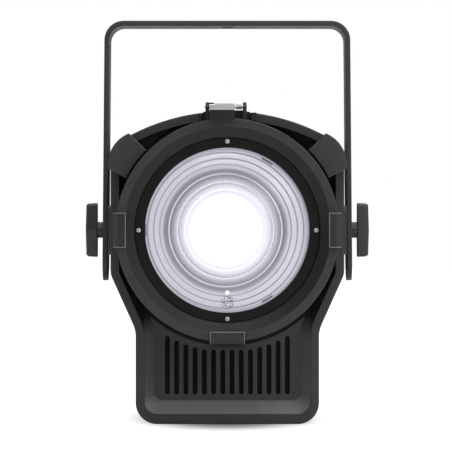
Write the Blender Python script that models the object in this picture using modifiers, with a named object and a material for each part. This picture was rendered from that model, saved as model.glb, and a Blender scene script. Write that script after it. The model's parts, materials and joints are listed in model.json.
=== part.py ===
"""Fresnel spotlight: a lamp head that stands on a flat base and hangs in a strap yoke.

Units are metres and +Z is up. The origin is under the middle of the base and the lamp
looks along -Y. Every piece is placed from the point where the lens axis, along Y, meets
the yoke's pivot axis, along X: heights below are measured from that point.
"""
import math

import bmesh
import bpy
from mathutils import Matrix, Vector

# ------------------------------------------------------------------ driving dimensions
AXIS_HEIGHT = 0.1855         # lens axis and yoke pivots above the base
GAP = 0.0003                 # clearance between pieces that touch

# Housing outline, seen from the front
SIDE_X = 0.1117              # half width beside the lens
CHIN_X = 0.0877              # half width of the chin
SIDE_END = -0.0425           # where the straight sides meet the slopes
SLOPE_END = -0.0957          # where the slopes meet the chin
BASE = -AXIS_HEIGHT
ARCH_RADIUS = 0.1989
ARCH_CENTRE = -0.0852
SHOULDER = 0.030             # radius where the arch turns down into a side
SHOULDER_X = SIDE_X - SHOULDER
SHOULDER_Z = ARCH_CENTRE + math.sqrt((ARCH_RADIUS - SHOULDER) ** 2 - SHOULDER_X ** 2)
SHOULDER_START = math.degrees(math.atan2(SHOULDER_Z - ARCH_CENTRE, SHOULDER_X))
SLOPE = math.atan2(SIDE_X - CHIN_X, SIDE_END - SLOPE_END)
SIDE_FILLET = 0.018
CHIN_FILLET = 0.030
BASE_FILLET = 0.0205

# Housing depth
RIM_Y = -0.080
LIP_Y = -0.075
SPLIT_Y = 0.050
TAPER_Y = 0.086
REAR_Y = 0.112
WALL = 0.003
RIM_BAND = 0.0084
FOOT_BAND = 0.0094
REAR_INSET = 0.010
SIDE_VENT_COUNT = 4
SIDE_VENT_PITCH = 0.007
REAR_VENT_COUNT = 9
REAR_VENT_PITCH = 0.0085
EYE_HALF_WIDTH = 0.016       # safety eye
EYE_WIRE = 0.003
EYE_BEND = 0.010
EYE_REACH = 0.020
EYE_Z = 0.090

# Chin recess with its row of vent slots
CHIN_TOP = -0.062
RECESS_Y = -0.068
PLATE_BACK_Y = -0.065
RECESS_SIDE_INSET = 0.0175
RECESS_BOTTOM = -0.1635
MOUTH_FILLET = 0.011
RECESS_FILLET = 0.008
SLOT_COUNT = 14
SLOT_PITCH = 0.00886
SLOT_WIDTH = 0.0045
SLOT_BOTTOM = -0.1578
SLOT_TOP_RADIUS = 0.1189
SLOT_TOP_LIMIT = -0.1171

# Lens barrel and its ring
RING_Y = -0.1355
RING_RADIUS = 0.1045
BAND_RADIUS = 0.0970
FUNNEL_RADIUS = 0.0865
FUNNEL_Y = -0.1315
POCKET_Y = -0.1282
POCKET_RADIUS = 0.0804
POCKET_BACK_Y = -0.1160
BARREL_INNER = 0.1005
SPIGOT_RADIUS = 0.0980
SPIGOT_INNER = 0.0945
SPIGOT_Y = -0.0620
BARREL_BACK_Y = -0.0565
BARREL_HOLE = 0.1070

# Cast blocks between the barrel and the housing's upper corners
CORNER_START = 27.3          # degrees above the horizontal
CORNER_END = 44.6
CORNER_INNER = 0.1078
CORNER_LEG_OUTER = 0.1148
CORNER_OVERHANG = 0.0015
CORNER_FILLET = 0.0015
CORNER_FRONT_Y = -0.0980

# Fresnel lens and what holds it
LENS_RADIUS = 0.0800
LENS_FRONT_Y = -0.1278
LENS_BACK_Y = -0.1163
LENS_DOME_RADIUS = 0.0372
LENS_DOME_RISE = 0.0040
LENS_ZONE_RADII = (0.0372, 0.0446, 0.0530, 0.0600, 0.0665, 0.0724, 0.0770)
LENS_STEP = 0.0004
LENS_RISER = 0.0003
LENS_GROOVE = 0.0022
KEEPER_INNER = 0.0770
KEEPER_OUTER = 0.0862
KEEPER_Y = -0.1305
KEEPER_THICKNESS = 0.0020
KEEPER_SCREW_CIRCLE = 0.0830
KEEPER_SCREW_RADIUS = 0.0015
KEEPER_HEAD_RADIUS = 0.0021
KEEPER_SCREW_END = POCKET_BACK_Y - 0.0040
LENS_CLIP_INNER = 0.0755
LENS_CLIP_OUTER = 0.0930
LENS_CLIP_HALF_WIDTH = 0.006
LENS_CLIP_ANGLES = (60, 180, 300)

# Accessory slot in front of the ring
CLIP_FRONT_Y = -0.1450
CLIP_BACK_Y = -0.1180
CLIP_FOLD_Y = -0.1385
CLIP_LIP_OUTER = 0.1010
CLIP_LIP_INNER = 0.0944
SHEET = 0.0015
CLIP_HALF_WIDTH = 0.0162

# Latch at the top of the ring
LATCH_PIN_Y = -0.1260
LATCH_PIN_Z = 0.1155
LATCH_PIN_RADIUS = 0.0015
LATCH_PIN_LEFT = -0.0212
LATCH_PIN_RIGHT = 0.0182
LATCH_KNUCKLE = 0.0032
LATCH_LEFT = -0.0166
LATCH_RIGHT = 0.0068
LATCH_SKIN = 0.0012
LATCH_FOLD_DROP = 0.0035
LATCH_FOOT_DROP = 0.0133
LATCH_NOTCH_RADIUS = 0.0056
LATCH_NOTCH_DEPTH = 0.0047
POST_THICKNESS = 0.0035
POST_HALF_DEPTH = 0.0065
POST_FOOT = -0.010
POST_TOP_RADIUS = 0.0042
LEFT_POST_X = -0.0187
RIGHT_POST_X = 0.0162
TAB_RISE = 0.0026
TAB_THICKNESS = 0.0011
TAB_REACH = 0.0042
TAB_HALF_DEPTH = 0.0035
MOUNT_FRONT_Y = -0.1340
MOUNT_BACK_Y = -0.1170
MOUNT_HALF_WIDTH = 0.0275
MOUNT_TOP = 0.1110
MOUNT_LEFT_TOP = 0.1085
MOUNT_RIGHT_TOP = 0.1098
MOUNT_POCKETS = ((-0.0245, -0.0207), (0.0072, 0.0143), (0.0185, 0.0228))
MOUNT_POCKET_BACK_Y = -0.1240
SPRING_TURNS = 4
SPRING_RADIUS = 0.0024
SPRING_WIRE = 0.0004
SPRING_GAP = 0.0010

# Yoke and its clamps
YOKE_INNER_X = 0.1173        # at the pivots; the arms lean in towards the top
YOKE_LEAN = 0.0087
YOKE_STRAP = 0.0050
YOKE_HALF_DEPTH = 0.0200
YOKE_TOP = 0.2054
YOKE_FOOT = -0.0500
YOKE_BEND = 0.0140
YOKE_HOLE = 0.0065
PIVOT_PLATE_OUT = 0.1158
PIVOT_PLATE_HEIGHT = 0.048
PIVOT_PLATE_DEPTH = 0.090
STUD_RADIUS = 0.0040
STUD_HOLE = 0.0044
STUD_START = 0.1000
WASHER_RADIUS = 0.0150
WASHER_FAR_X = 0.1169
KNOB_NECK = 0.00785
KNOB_NECK_X = 0.1283
KNOB_OUT_X = 0.1397
KNOB_HEIGHT = 0.0533
KNOB_DEPTH = 0.0180
KNOB_TIP_DEPTH = 0.0120
KNOB_EDGE = 0.003
KNOB_BORE_DEPTH = 0.006

# Focus drive and the sliding light engine
BULKHEAD_Y = -0.0600
CHASSIS_Y = 0.0800
PLATE_THICKNESS = 0.0030
PARTITION_FOOT = -0.1120
ROD_X = 0.0760
ROD_Z = 0.0760
ROD_RADIUS = 0.0030
SCREW_Z = -0.1040
SCREW_RADIUS = 0.0040
SCREW_REACH = 0.0200
FOCUS_KNOB_RADIUS = 0.0180
FOCUS_SKIRT = 0.0020
FOCUS_KNOB_END = 0.1450
FLUTE_COUNT = 8
FLUTE_RADIUS = 0.0032
CARRIAGE_Y = -0.0460
CARRIAGE_THICKNESS = 0.0040
SINK_HALF_WIDTH = 0.0550
SINK_DEPTH = 0.0450
SINK_BASE = 0.0060
FIN_COUNT = 12
FIN_THICKNESS = 0.0016
FAN_SIZE = 0.1200
FAN_DEPTH = 0.0250
FAN_BORE = 0.0570
FAN_HUB = 0.0200
BLADE_COUNT = 7
BLADE_PITCH = 32
SUPPLY_HALF_WIDTH = 0.0620
SUPPLY_FRONT_Y = -0.0500
SUPPLY_BACK_Y = 0.0700
SUPPLY_FLOOR = BASE + 0.0045
SUPPLY_TOP = BASE + 0.0640

# Rear panel and its fittings
PANEL_HALF_WIDTH = 0.0700
PANEL_BOTTOM = -0.1700
PANEL_TOP = -0.0320
PANEL_THICKNESS = 0.0025
PANEL_BACK_Y = REAR_Y - PANEL_THICKNESS
PANEL_FILLET = 0.004
SOCKETS = (
    ("power_in_socket", -0.054),
    ("power_out_socket", -0.024),
    ("dmx_in_socket", 0.024),
    ("dmx_out_socket", 0.054),
)
SOCKET_Z = -0.1500
SOCKET_BORE = 0.0118
SOCKET_CAVITY = 0.0092
SOCKET_DEPTH = 0.0140
CONTACT_REACH = 0.0048
FUSE_RADIUS = 0.0062
BUTTON_Z = -0.0720
BUTTON_PITCH = 0.0160
BUTTON_RADIUS = 0.0042
BUTTON_FLANGE = 0.0012
DISPLAY_Z = -0.0500
DISPLAY_HALF_WIDTH = 0.0250
DISPLAY_HALF_HEIGHT = 0.0110

FRAMES = {
    "X": Matrix(((0, 0, 1), (1, 0, 0), (0, 1, 0))),
    "Y": Matrix(((1, 0, 0), (0, 0, -1), (0, 1, 0))),
    "Z": Matrix.Identity(3),
}
AXES = {"X": Vector((1, 0, 0)), "Y": Vector((0, 1, 0)), "Z": Vector((0, 0, 1))}
ALONG = {"X": 1.0, "Y": -1.0, "Z": 1.0}


# --------------------------------------------------------------------- scene and finish
def clear_scene():
    for obj in list(bpy.data.objects):
        bpy.data.objects.remove(obj, do_unlink=True)


def new_collection(name):
    collection = bpy.data.collections.new(name)
    bpy.context.scene.collection.children.link(collection)
    return collection


def new_material(name, colour, roughness, metallic):
    material = bpy.data.materials.new(name)
    material.use_nodes = True
    shader = material.node_tree.nodes["Principled BSDF"]
    shader.inputs["Base Color"].default_value = (*colour, 1.0)
    shader.inputs["Roughness"].default_value = roughness
    shader.inputs["Metallic"].default_value = metallic
    return material


clear_scene()
PARTS = new_collection("fresnel_spotlight")
CUTTERS = new_collection("cutters")
LAMP = bpy.data.objects.new("lens_axis", None)
LAMP.location = (0, 0, AXIS_HEIGHT)
PARTS.objects.link(LAMP)

PAINT = new_material("black_paint", (0.022, 0.022, 0.024), 0.50, 0.0)
RING_PAINT = new_material("ring_paint", (0.030, 0.030, 0.033), 0.45, 0.0)
YOKE_PAINT = new_material("yoke_paint", (0.040, 0.042, 0.044), 0.50, 0.0)
PLASTIC = new_material("black_plastic", (0.020, 0.020, 0.022), 0.45, 0.0)
STEEL = new_material("bright_steel", (0.60, 0.60, 0.62), 0.30, 1.0)
ALUMINIUM = new_material("bare_aluminium", (0.70, 0.70, 0.72), 0.40, 1.0)
BRASS = new_material("brass", (0.70, 0.52, 0.24), 0.30, 1.0)
GLASS = new_material("clear_glass", (0.90, 0.92, 0.95), 0.05, 0.0)
NYLON = new_material("nylon", (0.10, 0.10, 0.10), 0.60, 0.0)
CIRCUIT = new_material("circuit_board", (0.02, 0.16, 0.07), 0.50, 0.0)
PHOSPHOR = new_material("led_phosphor", (0.90, 0.75, 0.20), 0.50, 0.0)
RUBBER = new_material("button_rubber", (0.05, 0.05, 0.05), 0.70, 0.0)


def keep(obj, material):
    """Make a finished shape one of the lamp's parts."""
    obj.data.materials.clear()
    obj.data.materials.append(material)
    CUTTERS.objects.unlink(obj)
    PARTS.objects.link(obj)
    obj.hide_render = False
    obj.display_type = "TEXTURED"
    return obj


def add_shape(name, mesh, axis, location):
    """A new shape waits among the cutters until keep() makes it a part."""
    obj = bpy.data.objects.new(name, mesh)
    CUTTERS.objects.link(obj)
    obj.hide_render = True
    obj.display_type = "WIRE"
    obj.parent = LAMP
    obj.rotation_euler = FRAMES[axis].to_euler()
    obj.location = location
    return obj


def combine(target, tool, operation):
    modifier = target.modifiers.new(tool.name, "BOOLEAN")
    modifier.operation = operation
    modifier.solver = "EXACT"
    modifier.object = tool


def cut(target, *tools):
    for tool in tools:
        combine(target, tool, "DIFFERENCE")
    return target


def join(target, *tools):
    for tool in tools:
        combine(target, tool, "UNION")
    return target


def soften(obj, width, segments=1):
    """Break the sharp edges of a shape."""
    bevel = obj.modifiers.new("soft_edges", "BEVEL")
    bevel.width = width
    bevel.segments = segments
    bevel.limit_method = "ANGLE"
    bevel.angle_limit = math.radians(40)
    return obj


# ------------------------------------------------------------------------------ outlines
def arc(centre, radius, start, end, steps):
    """Points of an arc from start to end, in degrees, with both ends."""
    points = []
    for step in range(steps + 1):
        angle = math.radians(start + (end - start) * step / steps)
        x = centre[0] + radius * math.cos(angle)
        y = centre[1] + radius * math.sin(angle)
        points.append((x, y))
    return points


def fillet(before, corner, after, radius, steps):
    """The arc that rounds one corner of an outline."""
    here = Vector(corner)
    towards_before = (Vector(before) - here).normalized()
    towards_after = (Vector(after) - here).normalized()
    half = towards_before.angle(towards_after) / 2
    centre = here + (towards_before + towards_after).normalized() * (radius / math.sin(half))
    first = here + towards_before * (radius / math.tan(half)) - centre
    last = here + towards_after * (radius / math.tan(half)) - centre
    start = math.degrees(math.atan2(first.y, first.x))
    sweep = math.degrees(math.atan2(last.y, last.x)) - start
    sweep = (sweep + 180) % 360 - 180
    return arc(centre, radius, start, start + sweep, steps)


def rounded(corners, steps=4, closed=True):
    """An outline through (x, y, radius) corners, each rounded to its radius."""
    points = []
    last = len(corners) - 1
    for index, (x, y, radius) in enumerate(corners):
        open_end = not closed and index in (0, last)
        if radius == 0 or open_end:
            points.append((x, y))
            continue
        before = corners[index - 1][:2]
        after = corners[(index + 1) % len(corners)][:2]
        points.extend(fillet(before, (x, y), after, radius, steps))
    return points


def rectangle(half_width, half_height, radius=0.0, centre=(0.0, 0.0), steps=4):
    x, y = centre
    return rounded([
        (x - half_width, y - half_height, radius),
        (x - half_width, y + half_height, radius),
        (x + half_width, y + half_height, radius),
        (x + half_width, y - half_height, radius),
    ], steps)


def circle(radius, centre=(0.0, 0.0), steps=24):
    return arc(centre, radius, 0, 360, steps)[:-1]


def mirrored(right_side):
    """Close an outline whose right half runs from top to bottom."""
    left_side = [(-x, y) for x, y in reversed(right_side)]
    return right_side + left_side


# -------------------------------------------------------------------------------- shapes
def prism(name, outlines, start, end, axis="Y", at=(0, 0, 0)):
    """Flat outlines extruded along an axis. An outline inside another is a hole."""
    curve = bpy.data.curves.new(name, "CURVE")
    curve.dimensions = "2D"
    curve.fill_mode = "BOTH"
    curve.extrude = abs(end - start) / 2
    for outline in outlines:
        spline = curve.splines.new("POLY")
        spline.points.add(len(outline) - 1)
        for point, (x, y) in zip(spline.points, outline):
            point.co = (x, y, 0, 1)
        spline.use_cyclic_u = True
    mesh = weld_curve(curve)
    return add_shape(name, mesh, axis, Vector(at) + AXES[axis] * ((start + end) / 2))


def weld_curve(curve):
    """Turn a curve into one closed mesh."""
    guide = bpy.data.objects.new(curve.name, curve)
    CUTTERS.objects.link(guide)
    depsgraph = bpy.context.evaluated_depsgraph_get()
    mesh = bpy.data.meshes.new_from_object(guide.evaluated_get(depsgraph))
    bpy.data.objects.remove(guide)
    work = bmesh.new()
    work.from_mesh(mesh)
    bmesh.ops.remove_doubles(work, verts=work.verts, dist=0.000005)
    bmesh.ops.recalc_face_normals(work, faces=work.faces)
    work.to_mesh(mesh)
    work.free()
    return mesh


def wire(name, points, radius, at=(0, 0, 0)):
    """A round wire along a path."""
    curve = bpy.data.curves.new(name, "CURVE")
    curve.dimensions = "3D"
    curve.bevel_depth = radius
    curve.bevel_resolution = 2
    curve.use_fill_caps = True
    spline = curve.splines.new("POLY")
    spline.points.add(len(points) - 1)
    for point, place in zip(spline.points, points):
        point.co = (*place, 1)
    return add_shape(name, weld_curve(curve), "Z", at)


def turned(name, profile, axis="Y", at=(0, 0, 0), steps=48):
    """A profile of (radius, place along the axis) points, turned about the axis.

    A profile whose two ends lie on the axis makes a solid; any other makes a ring.
    """
    points = [Vector((radius, 0, ALONG[axis] * along)) for radius, along in profile]
    solid = profile[0][0] == 0 and profile[-1][0] == 0
    pairs = zip(points, points[1:] + points[:1])
    if sum(a.z * b.x - a.x * b.z for a, b in pairs) < 0:
        points.reverse()
    work = bmesh.new()
    verts = [work.verts.new(point) for point in points]
    for first, second in zip(verts, verts[1:]):
        work.edges.new((first, second))
    if not solid:
        work.edges.new((verts[-1], verts[0]))
    mesh = bpy.data.meshes.new(name)
    work.to_mesh(mesh)
    work.free()
    obj = add_shape(name, mesh, axis, at)
    screw = obj.modifiers.new("turn", "SCREW")
    screw.steps = steps
    screw.render_steps = steps
    screw.use_merge_vertices = True
    screw.merge_threshold = 0.00001
    return obj


def cylinder(name, radius, start, end, axis="Y", at=(0, 0, 0), sides=24):
    work = bmesh.new()
    bmesh.ops.create_cone(work, cap_ends=True, segments=sides, radius1=radius, radius2=radius,
                          depth=abs(end - start))
    mesh = bpy.data.meshes.new(name)
    work.to_mesh(mesh)
    work.free()
    return add_shape(name, mesh, axis, Vector(at) + AXES[axis] * ((start + end) / 2))


def box(name, low, high):
    work = bmesh.new()
    bmesh.ops.create_cube(work, size=1.0)
    size = Vector(high) - Vector(low)
    bmesh.ops.scale(work, vec=size, verts=work.verts)
    mesh = bpy.data.meshes.new(name)
    work.to_mesh(mesh)
    work.free()
    return add_shape(name, mesh, "Z", (Vector(high) + Vector(low)) / 2)


def loft(name, sections, axis="Y", at=(0, 0, 0)):
    """A skin through (outline, place along the axis) sections, closed at both ends."""
    work = bmesh.new()
    rings = []
    for outline, along in sections:
        rings.append([work.verts.new((x, y, ALONG[axis] * along)) for x, y in outline])
    for near, far in zip(rings, rings[1:]):
        for index in range(len(near)):
            after = (index + 1) % len(near)
            work.faces.new((near[index], near[after], far[after], far[index]))
    work.faces.new(rings[0])
    work.faces.new(rings[-1])
    bmesh.ops.recalc_face_normals(work, faces=work.faces)
    mesh = bpy.data.meshes.new(name)
    work.to_mesh(mesh)
    work.free()
    return add_shape(name, mesh, axis, at)


# ------------------------------------------------------------------------------- housing
def side_point(inset):
    """The corner where a straight side, moved in by an inset, meets its slope."""
    return SIDE_X - inset, SIDE_END + inset * math.tan(SLOPE / 2)


def chin_point(inset):
    """The corner where a slope, moved in by an inset, meets the chin's side."""
    return CHIN_X - inset, SLOPE_END + inset * math.tan(SLOPE / 2)


def arch(inset):
    """Right half of the top arch and its shoulder, from beside the crown to the side."""
    top = arc((0, ARCH_CENTRE), ARCH_RADIUS - inset, 90, SHOULDER_START, 7)
    shoulder = arc((SHOULDER_X, SHOULDER_Z), SHOULDER - inset, SHOULDER_START, 0, 4)
    return top[1:] + shoulder[1:]


def slope_x(inset, height):
    """Half width of the sloped stretch at a height."""
    corner_x, corner_z = side_point(inset)
    return corner_x - (corner_z - height) * math.tan(SLOPE)


def full_outline(inset):
    crown = (0.0, ARCH_CENTRE + ARCH_RADIUS - inset)
    lower = rounded([
        (*arch(inset)[-1], 0),
        (*side_point(inset), SIDE_FILLET - inset),
        (*chin_point(inset), CHIN_FILLET + inset),
        (CHIN_X - inset, BASE + inset, BASE_FILLET - inset),
        (0, BASE + inset, 0),
    ], closed=False)
    right = arch(inset)[:-1] + lower[:-1]
    return [crown] + mirrored(right)


def upper_outline(inset, foot):
    """The outline above a level foot."""
    crown = (0.0, ARCH_CENTRE + ARCH_RADIUS - inset)
    lower = rounded([
        (*arch(inset)[-1], 0),
        (*side_point(inset), SIDE_FILLET - inset),
        (slope_x(inset, foot), foot, 0),
    ], closed=False)
    return [crown] + mirrored(arch(inset)[:-1] + lower)


def chin_outline(inset, bottom, corner, top=CHIN_TOP):
    """The outline below a level top."""
    right = rounded([
        (slope_x(inset, top), top, 0),
        (*chin_point(inset), CHIN_FILLET + inset),
        (CHIN_X - inset, bottom, corner),
        (0, bottom, 0),
    ], closed=False)
    return mirrored(right[:-1])


def vent_slots():
    """Upright slots whose tops follow a circle about the lens axis."""
    outlines = []
    half = SLOT_WIDTH / 2
    for index in range(SLOT_COUNT):
        x = (index - (SLOT_COUNT - 1) / 2) * SLOT_PITCH
        top = max(-math.sqrt(SLOT_TOP_RADIUS ** 2 - x ** 2), SLOT_TOP_LIMIT) + half
        height = (top - SLOT_BOTTOM) / 2
        middle = (top + SLOT_BOTTOM) / 2
        outlines.append(rectangle(half, height, half * 0.98, (x, middle), steps=2))
    return outlines


def make_front_housing():
    shell = prism("front_housing", [full_outline(0)], RIM_Y, SPLIT_Y)
    cut(shell,
        prism("inside", [full_outline(WALL)], LIP_Y, SPLIT_Y + 0.01),
        prism("recess_over_chin", [upper_outline(RIM_BAND, CHIN_TOP)],
              RIM_Y - 0.005, LIP_Y + 0.005))
    embed = WALL * 0.4
    plate = chin_outline(embed, BASE + embed, BASE_FILLET - embed, CHIN_TOP - 0.001)
    join(shell, prism("chin_plate", [plate], RIM_Y + 0.002, PLATE_BACK_Y))
    mouth = chin_outline(RIM_BAND + 0.0001, BASE + FOOT_BAND, MOUTH_FILLET, CHIN_TOP + 0.0005)
    floor = chin_outline(RECESS_SIDE_INSET, RECESS_BOTTOM, RECESS_FILLET, CHIN_TOP + 0.0005)
    cut(shell,
        cylinder("barrel_hole", BARREL_HOLE, RIM_Y - 0.01, PLATE_BACK_Y + 0.005, sides=48),
        loft("chin_recess", [
            (mouth, RIM_Y - 0.005),
            (mouth, RIM_Y),
            (floor, RECESS_Y),
        ]),
        prism("vent_slots", vent_slots(), RECESS_Y - 0.003, PLATE_BACK_Y + 0.003),
        cylinder("pivot_bore", STUD_HOLE + 0.001, -SIDE_X - 0.01, SIDE_X + 0.01, "X"))
    keep(shell, PAINT)


def side_vents():
    """Upright slots through both side walls."""
    outlines = []
    for index in range(SIDE_VENT_COUNT):
        y = SPLIT_Y + 0.010 + index * SIDE_VENT_PITCH
        outlines.append(rectangle(0.0018, 0.026, 0.0017, (y, 0.020), steps=3))
    return prism("side_vents", outlines, -SIDE_X - 0.01, SIDE_X + 0.01, "X")


def rear_vents():
    """Level slots across the upper back wall, shorter towards the top."""
    outlines = []
    for row in range(REAR_VENT_COUNT):
        height = 0.002 + row * REAR_VENT_PITCH
        half = 0.058 - 0.0022 * row
        outlines.append(rectangle(half, 0.0020, 0.0019, (0, height), steps=3))
    return prism("rear_vents", outlines, TAPER_Y, REAR_Y + 0.01)


def panel_outline(inset):
    middle = (PANEL_BOTTOM + PANEL_TOP) / 2
    half = (PANEL_TOP - PANEL_BOTTOM) / 2
    return rectangle(PANEL_HALF_WIDTH - inset, half - inset, PANEL_FILLET, (0, middle))


def make_rear_housing():
    shell = loft("rear_housing", [
        (full_outline(0), SPLIT_Y + GAP),
        (full_outline(0), TAPER_Y),
        (full_outline(REAR_INSET), REAR_Y),
    ])
    cut(shell,
        loft("rear_inside", [
            (full_outline(WALL), SPLIT_Y - 0.01),
            (full_outline(WALL), TAPER_Y - 0.001),
            (full_outline(WALL + REAR_INSET), REAR_Y - WALL),
        ]),
        prism("panel_opening", [panel_outline(-GAP)], TAPER_Y, REAR_Y + 0.01),
        rear_vents(),
        side_vents())
    for side in (-1, 1):
        leg = (side * EYE_HALF_WIDTH, 0, EYE_Z)
        cut(shell, cylinder("eye_hole", EYE_WIRE + GAP, TAPER_Y, REAR_Y + 0.01, at=leg, sides=16))
    keep(shell, PAINT)


def make_safety_eye():
    """A wire loop that stands out of the back wall."""
    start = REAR_Y - 0.008
    centre_x = EYE_HALF_WIDTH - EYE_BEND
    centre_y = REAR_Y + EYE_REACH - EYE_BEND
    path = [(EYE_HALF_WIDTH, start)]
    path += arc((centre_x, centre_y), EYE_BEND, 0, 90, 6)
    path += arc((-centre_x, centre_y), EYE_BEND, 90, 180, 6)
    path += [(-EYE_HALF_WIDTH, start)]
    keep(wire("safety_eye", [(x, y, 0) for x, y in path], EYE_WIRE, (0, 0, EYE_Z)), STEEL)


def over_arch(angle):
    """Where a ray from the lens axis, at an angle, crosses the arch moved out by the overhang."""
    radius = ARCH_RADIUS + CORNER_OVERHANG
    lean = ARCH_CENTRE * math.sin(math.radians(angle))
    reach = lean + math.sqrt(lean ** 2 - ARCH_CENTRE ** 2 + radius ** 2)
    return reach * math.cos(math.radians(angle)), reach * math.sin(math.radians(angle))


def corner_outline(side):
    """The block from the front: round inside, and just over the housing's corner outside."""
    inner = arc((0, 0), CORNER_INNER, CORNER_START, CORNER_END, 8)
    shoulder = arc((SHOULDER_X, SHOULDER_Z), SHOULDER + CORNER_OVERHANG, SHOULDER_START, 0, 5)
    low_x = SIDE_X + CORNER_OVERHANG
    low_z = low_x * math.tan(math.radians(CORNER_START))
    corners = [(x, z, 0) for x, z in inner]
    corners.append((*over_arch(CORNER_END), CORNER_FILLET))
    corners += [(x, z, 0) for x, z in shoulder]
    corners.append((low_x, low_z, CORNER_FILLET))
    return [(side * x, z) for x, z in rounded(corners)]


def leg_outline(side):
    """A narrower sector behind the block, inside the housing's rim."""
    margin = 1.2
    inner = arc((0, 0), CORNER_INNER, CORNER_START + margin, CORNER_END - margin, 8)
    outer = arc((0, 0), CORNER_LEG_OUTER, CORNER_END - margin, CORNER_START + margin, 8)
    return [(side * x, z) for x, z in inner + outer]


def make_corner_block(side, name):
    """A cast block that ties the barrel to the housing's upper corner."""
    block = prism(name, [corner_outline(side)], CORNER_FRONT_Y, RIM_Y - GAP)
    leg = prism(name + "_leg", [leg_outline(side)], RIM_Y - 0.002, BULKHEAD_Y - GAP)
    keep(join(block, leg), PAINT)


# --------------------------------------------------------------------- lens and its ring
def make_bezel_ring():
    ring = turned("bezel_ring", [
        (RING_RADIUS - 0.0008, RING_Y),
        (RING_RADIUS, RING_Y + 0.0008),
        (RING_RADIUS, SPIGOT_Y),
        (SPIGOT_RADIUS, SPIGOT_Y),
        (SPIGOT_RADIUS, BARREL_BACK_Y),
        (SPIGOT_INNER, BARREL_BACK_Y),
        (SPIGOT_INNER, SPIGOT_Y - 0.004),
        (BARREL_INNER, SPIGOT_Y - 0.010),
        (BARREL_INNER, POCKET_BACK_Y),
        (POCKET_RADIUS, POCKET_BACK_Y),
        (POCKET_RADIUS, POCKET_Y),
        (FUNNEL_RADIUS, POCKET_Y),
        (FUNNEL_RADIUS, FUNNEL_Y),
        (BAND_RADIUS, RING_Y),
    ], steps=48)
    cut(ring, *keeper_screw_holes("ring_screw_hole", POCKET_Y - 0.002, POCKET_BACK_Y - 0.003))
    keep(ring, RING_PAINT)


def keeper_screw_places():
    places = []
    for quarter in range(4):
        angle = math.radians(90 * quarter)
        x = KEEPER_SCREW_CIRCLE * math.cos(angle)
        z = KEEPER_SCREW_CIRCLE * math.sin(angle)
        places.append((x, 0, z))
    return places


def keeper_screw_holes(name, start, end):
    bore = KEEPER_SCREW_RADIUS + GAP
    return [cylinder(name, bore, start, end, at=place, sides=8) for place in keeper_screw_places()]


def make_lens_retaining_ring():
    back = KEEPER_Y + KEEPER_THICKNESS
    ring = turned("lens_retaining_ring", [
        (KEEPER_OUTER, KEEPER_Y),
        (KEEPER_OUTER, back),
        (KEEPER_INNER, back),
        (KEEPER_INNER, KEEPER_Y),
    ], steps=40)
    cut(ring, *keeper_screw_holes("keeper_hole", KEEPER_Y - 0.002, back + 0.002))
    keep(ring, PAINT)
    for number, place in enumerate(keeper_screw_places(), 1):
        head = KEEPER_Y - GAP
        screw = turned(f"lens_ring_screw_{number}", [
            (0, head - 0.0009),
            (KEEPER_SCREW_RADIUS, head - 0.0009),
            (KEEPER_HEAD_RADIUS, head - 0.0003),
            (KEEPER_HEAD_RADIUS, head),
            (KEEPER_SCREW_RADIUS, head),
            (KEEPER_SCREW_RADIUS, KEEPER_SCREW_END),
            (0, KEEPER_SCREW_END),
        ], at=place, steps=10)
        keep(screw, STEEL)


def make_fresnel_lens():
    """A bull's-eye dome with rings of prisms around it, flat at the back."""
    profile = [(0, LENS_FRONT_Y)]
    for step in range(1, 4):
        radius = LENS_DOME_RADIUS * step / 3
        profile.append((radius, LENS_FRONT_Y + LENS_DOME_RISE * (radius / LENS_DOME_RADIUS) ** 2))
    for inner, outer in zip(LENS_ZONE_RADII, LENS_ZONE_RADII[1:]):
        profile.append((inner + LENS_RISER, LENS_FRONT_Y + LENS_STEP))
        profile.append((outer, LENS_FRONT_Y + LENS_STEP + LENS_GROOVE))
    profile.append((LENS_ZONE_RADII[-1] + LENS_RISER, LENS_FRONT_Y))
    profile.append((LENS_RADIUS, LENS_FRONT_Y))
    profile.append((LENS_RADIUS, LENS_BACK_Y))
    profile.append((0, LENS_BACK_Y))
    keep(turned("fresnel_lens", profile, steps=36), GLASS)


def make_lens_clips():
    """Three small plates behind the lens that hold it in its pocket."""
    start = POCKET_BACK_Y + GAP
    middle = (LENS_CLIP_INNER + LENS_CLIP_OUTER) / 2
    half = (LENS_CLIP_OUTER - LENS_CLIP_INNER) / 2
    for number, angle in enumerate(LENS_CLIP_ANGLES, 1):
        turn = Matrix.Rotation(math.radians(angle), 2)
        corners = rectangle(half, LENS_CLIP_HALF_WIDTH, centre=(middle, 0))
        outline = [tuple(turn @ Vector(corner)) for corner in corners]
        clip = prism(f"lens_clip_{number}", [outline], start, start + 0.001)
        keep(clip, PLASTIC)


def make_accessory_clip(name, angle):
    """A folded clip on the barrel whose lip holds a frame against the ring."""
    flat = RING_RADIUS + GAP
    profile = [
        (CLIP_BACK_Y, flat),
        (CLIP_BACK_Y, flat + SHEET),
        (CLIP_FOLD_Y, flat + SHEET),
        (CLIP_FRONT_Y, CLIP_LIP_OUTER),
        (CLIP_FRONT_Y, CLIP_LIP_INNER),
        (CLIP_FRONT_Y + SHEET, CLIP_LIP_INNER),
        (CLIP_FRONT_Y + SHEET, CLIP_LIP_OUTER - 0.0006),
        (CLIP_FOLD_Y - 0.0006, flat - 0.0002),
        (CLIP_FOLD_Y + 0.0002, flat),
    ]
    clip = prism(name, [profile], -CLIP_HALF_WIDTH, CLIP_HALF_WIDTH, "X")
    clip.rotation_mode = "QUATERNION"
    stand = Matrix.Rotation(math.radians(angle), 3, "Y") @ FRAMES["X"]
    clip.rotation_quaternion = stand.to_quaternion()
    keep(clip, PAINT)


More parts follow.
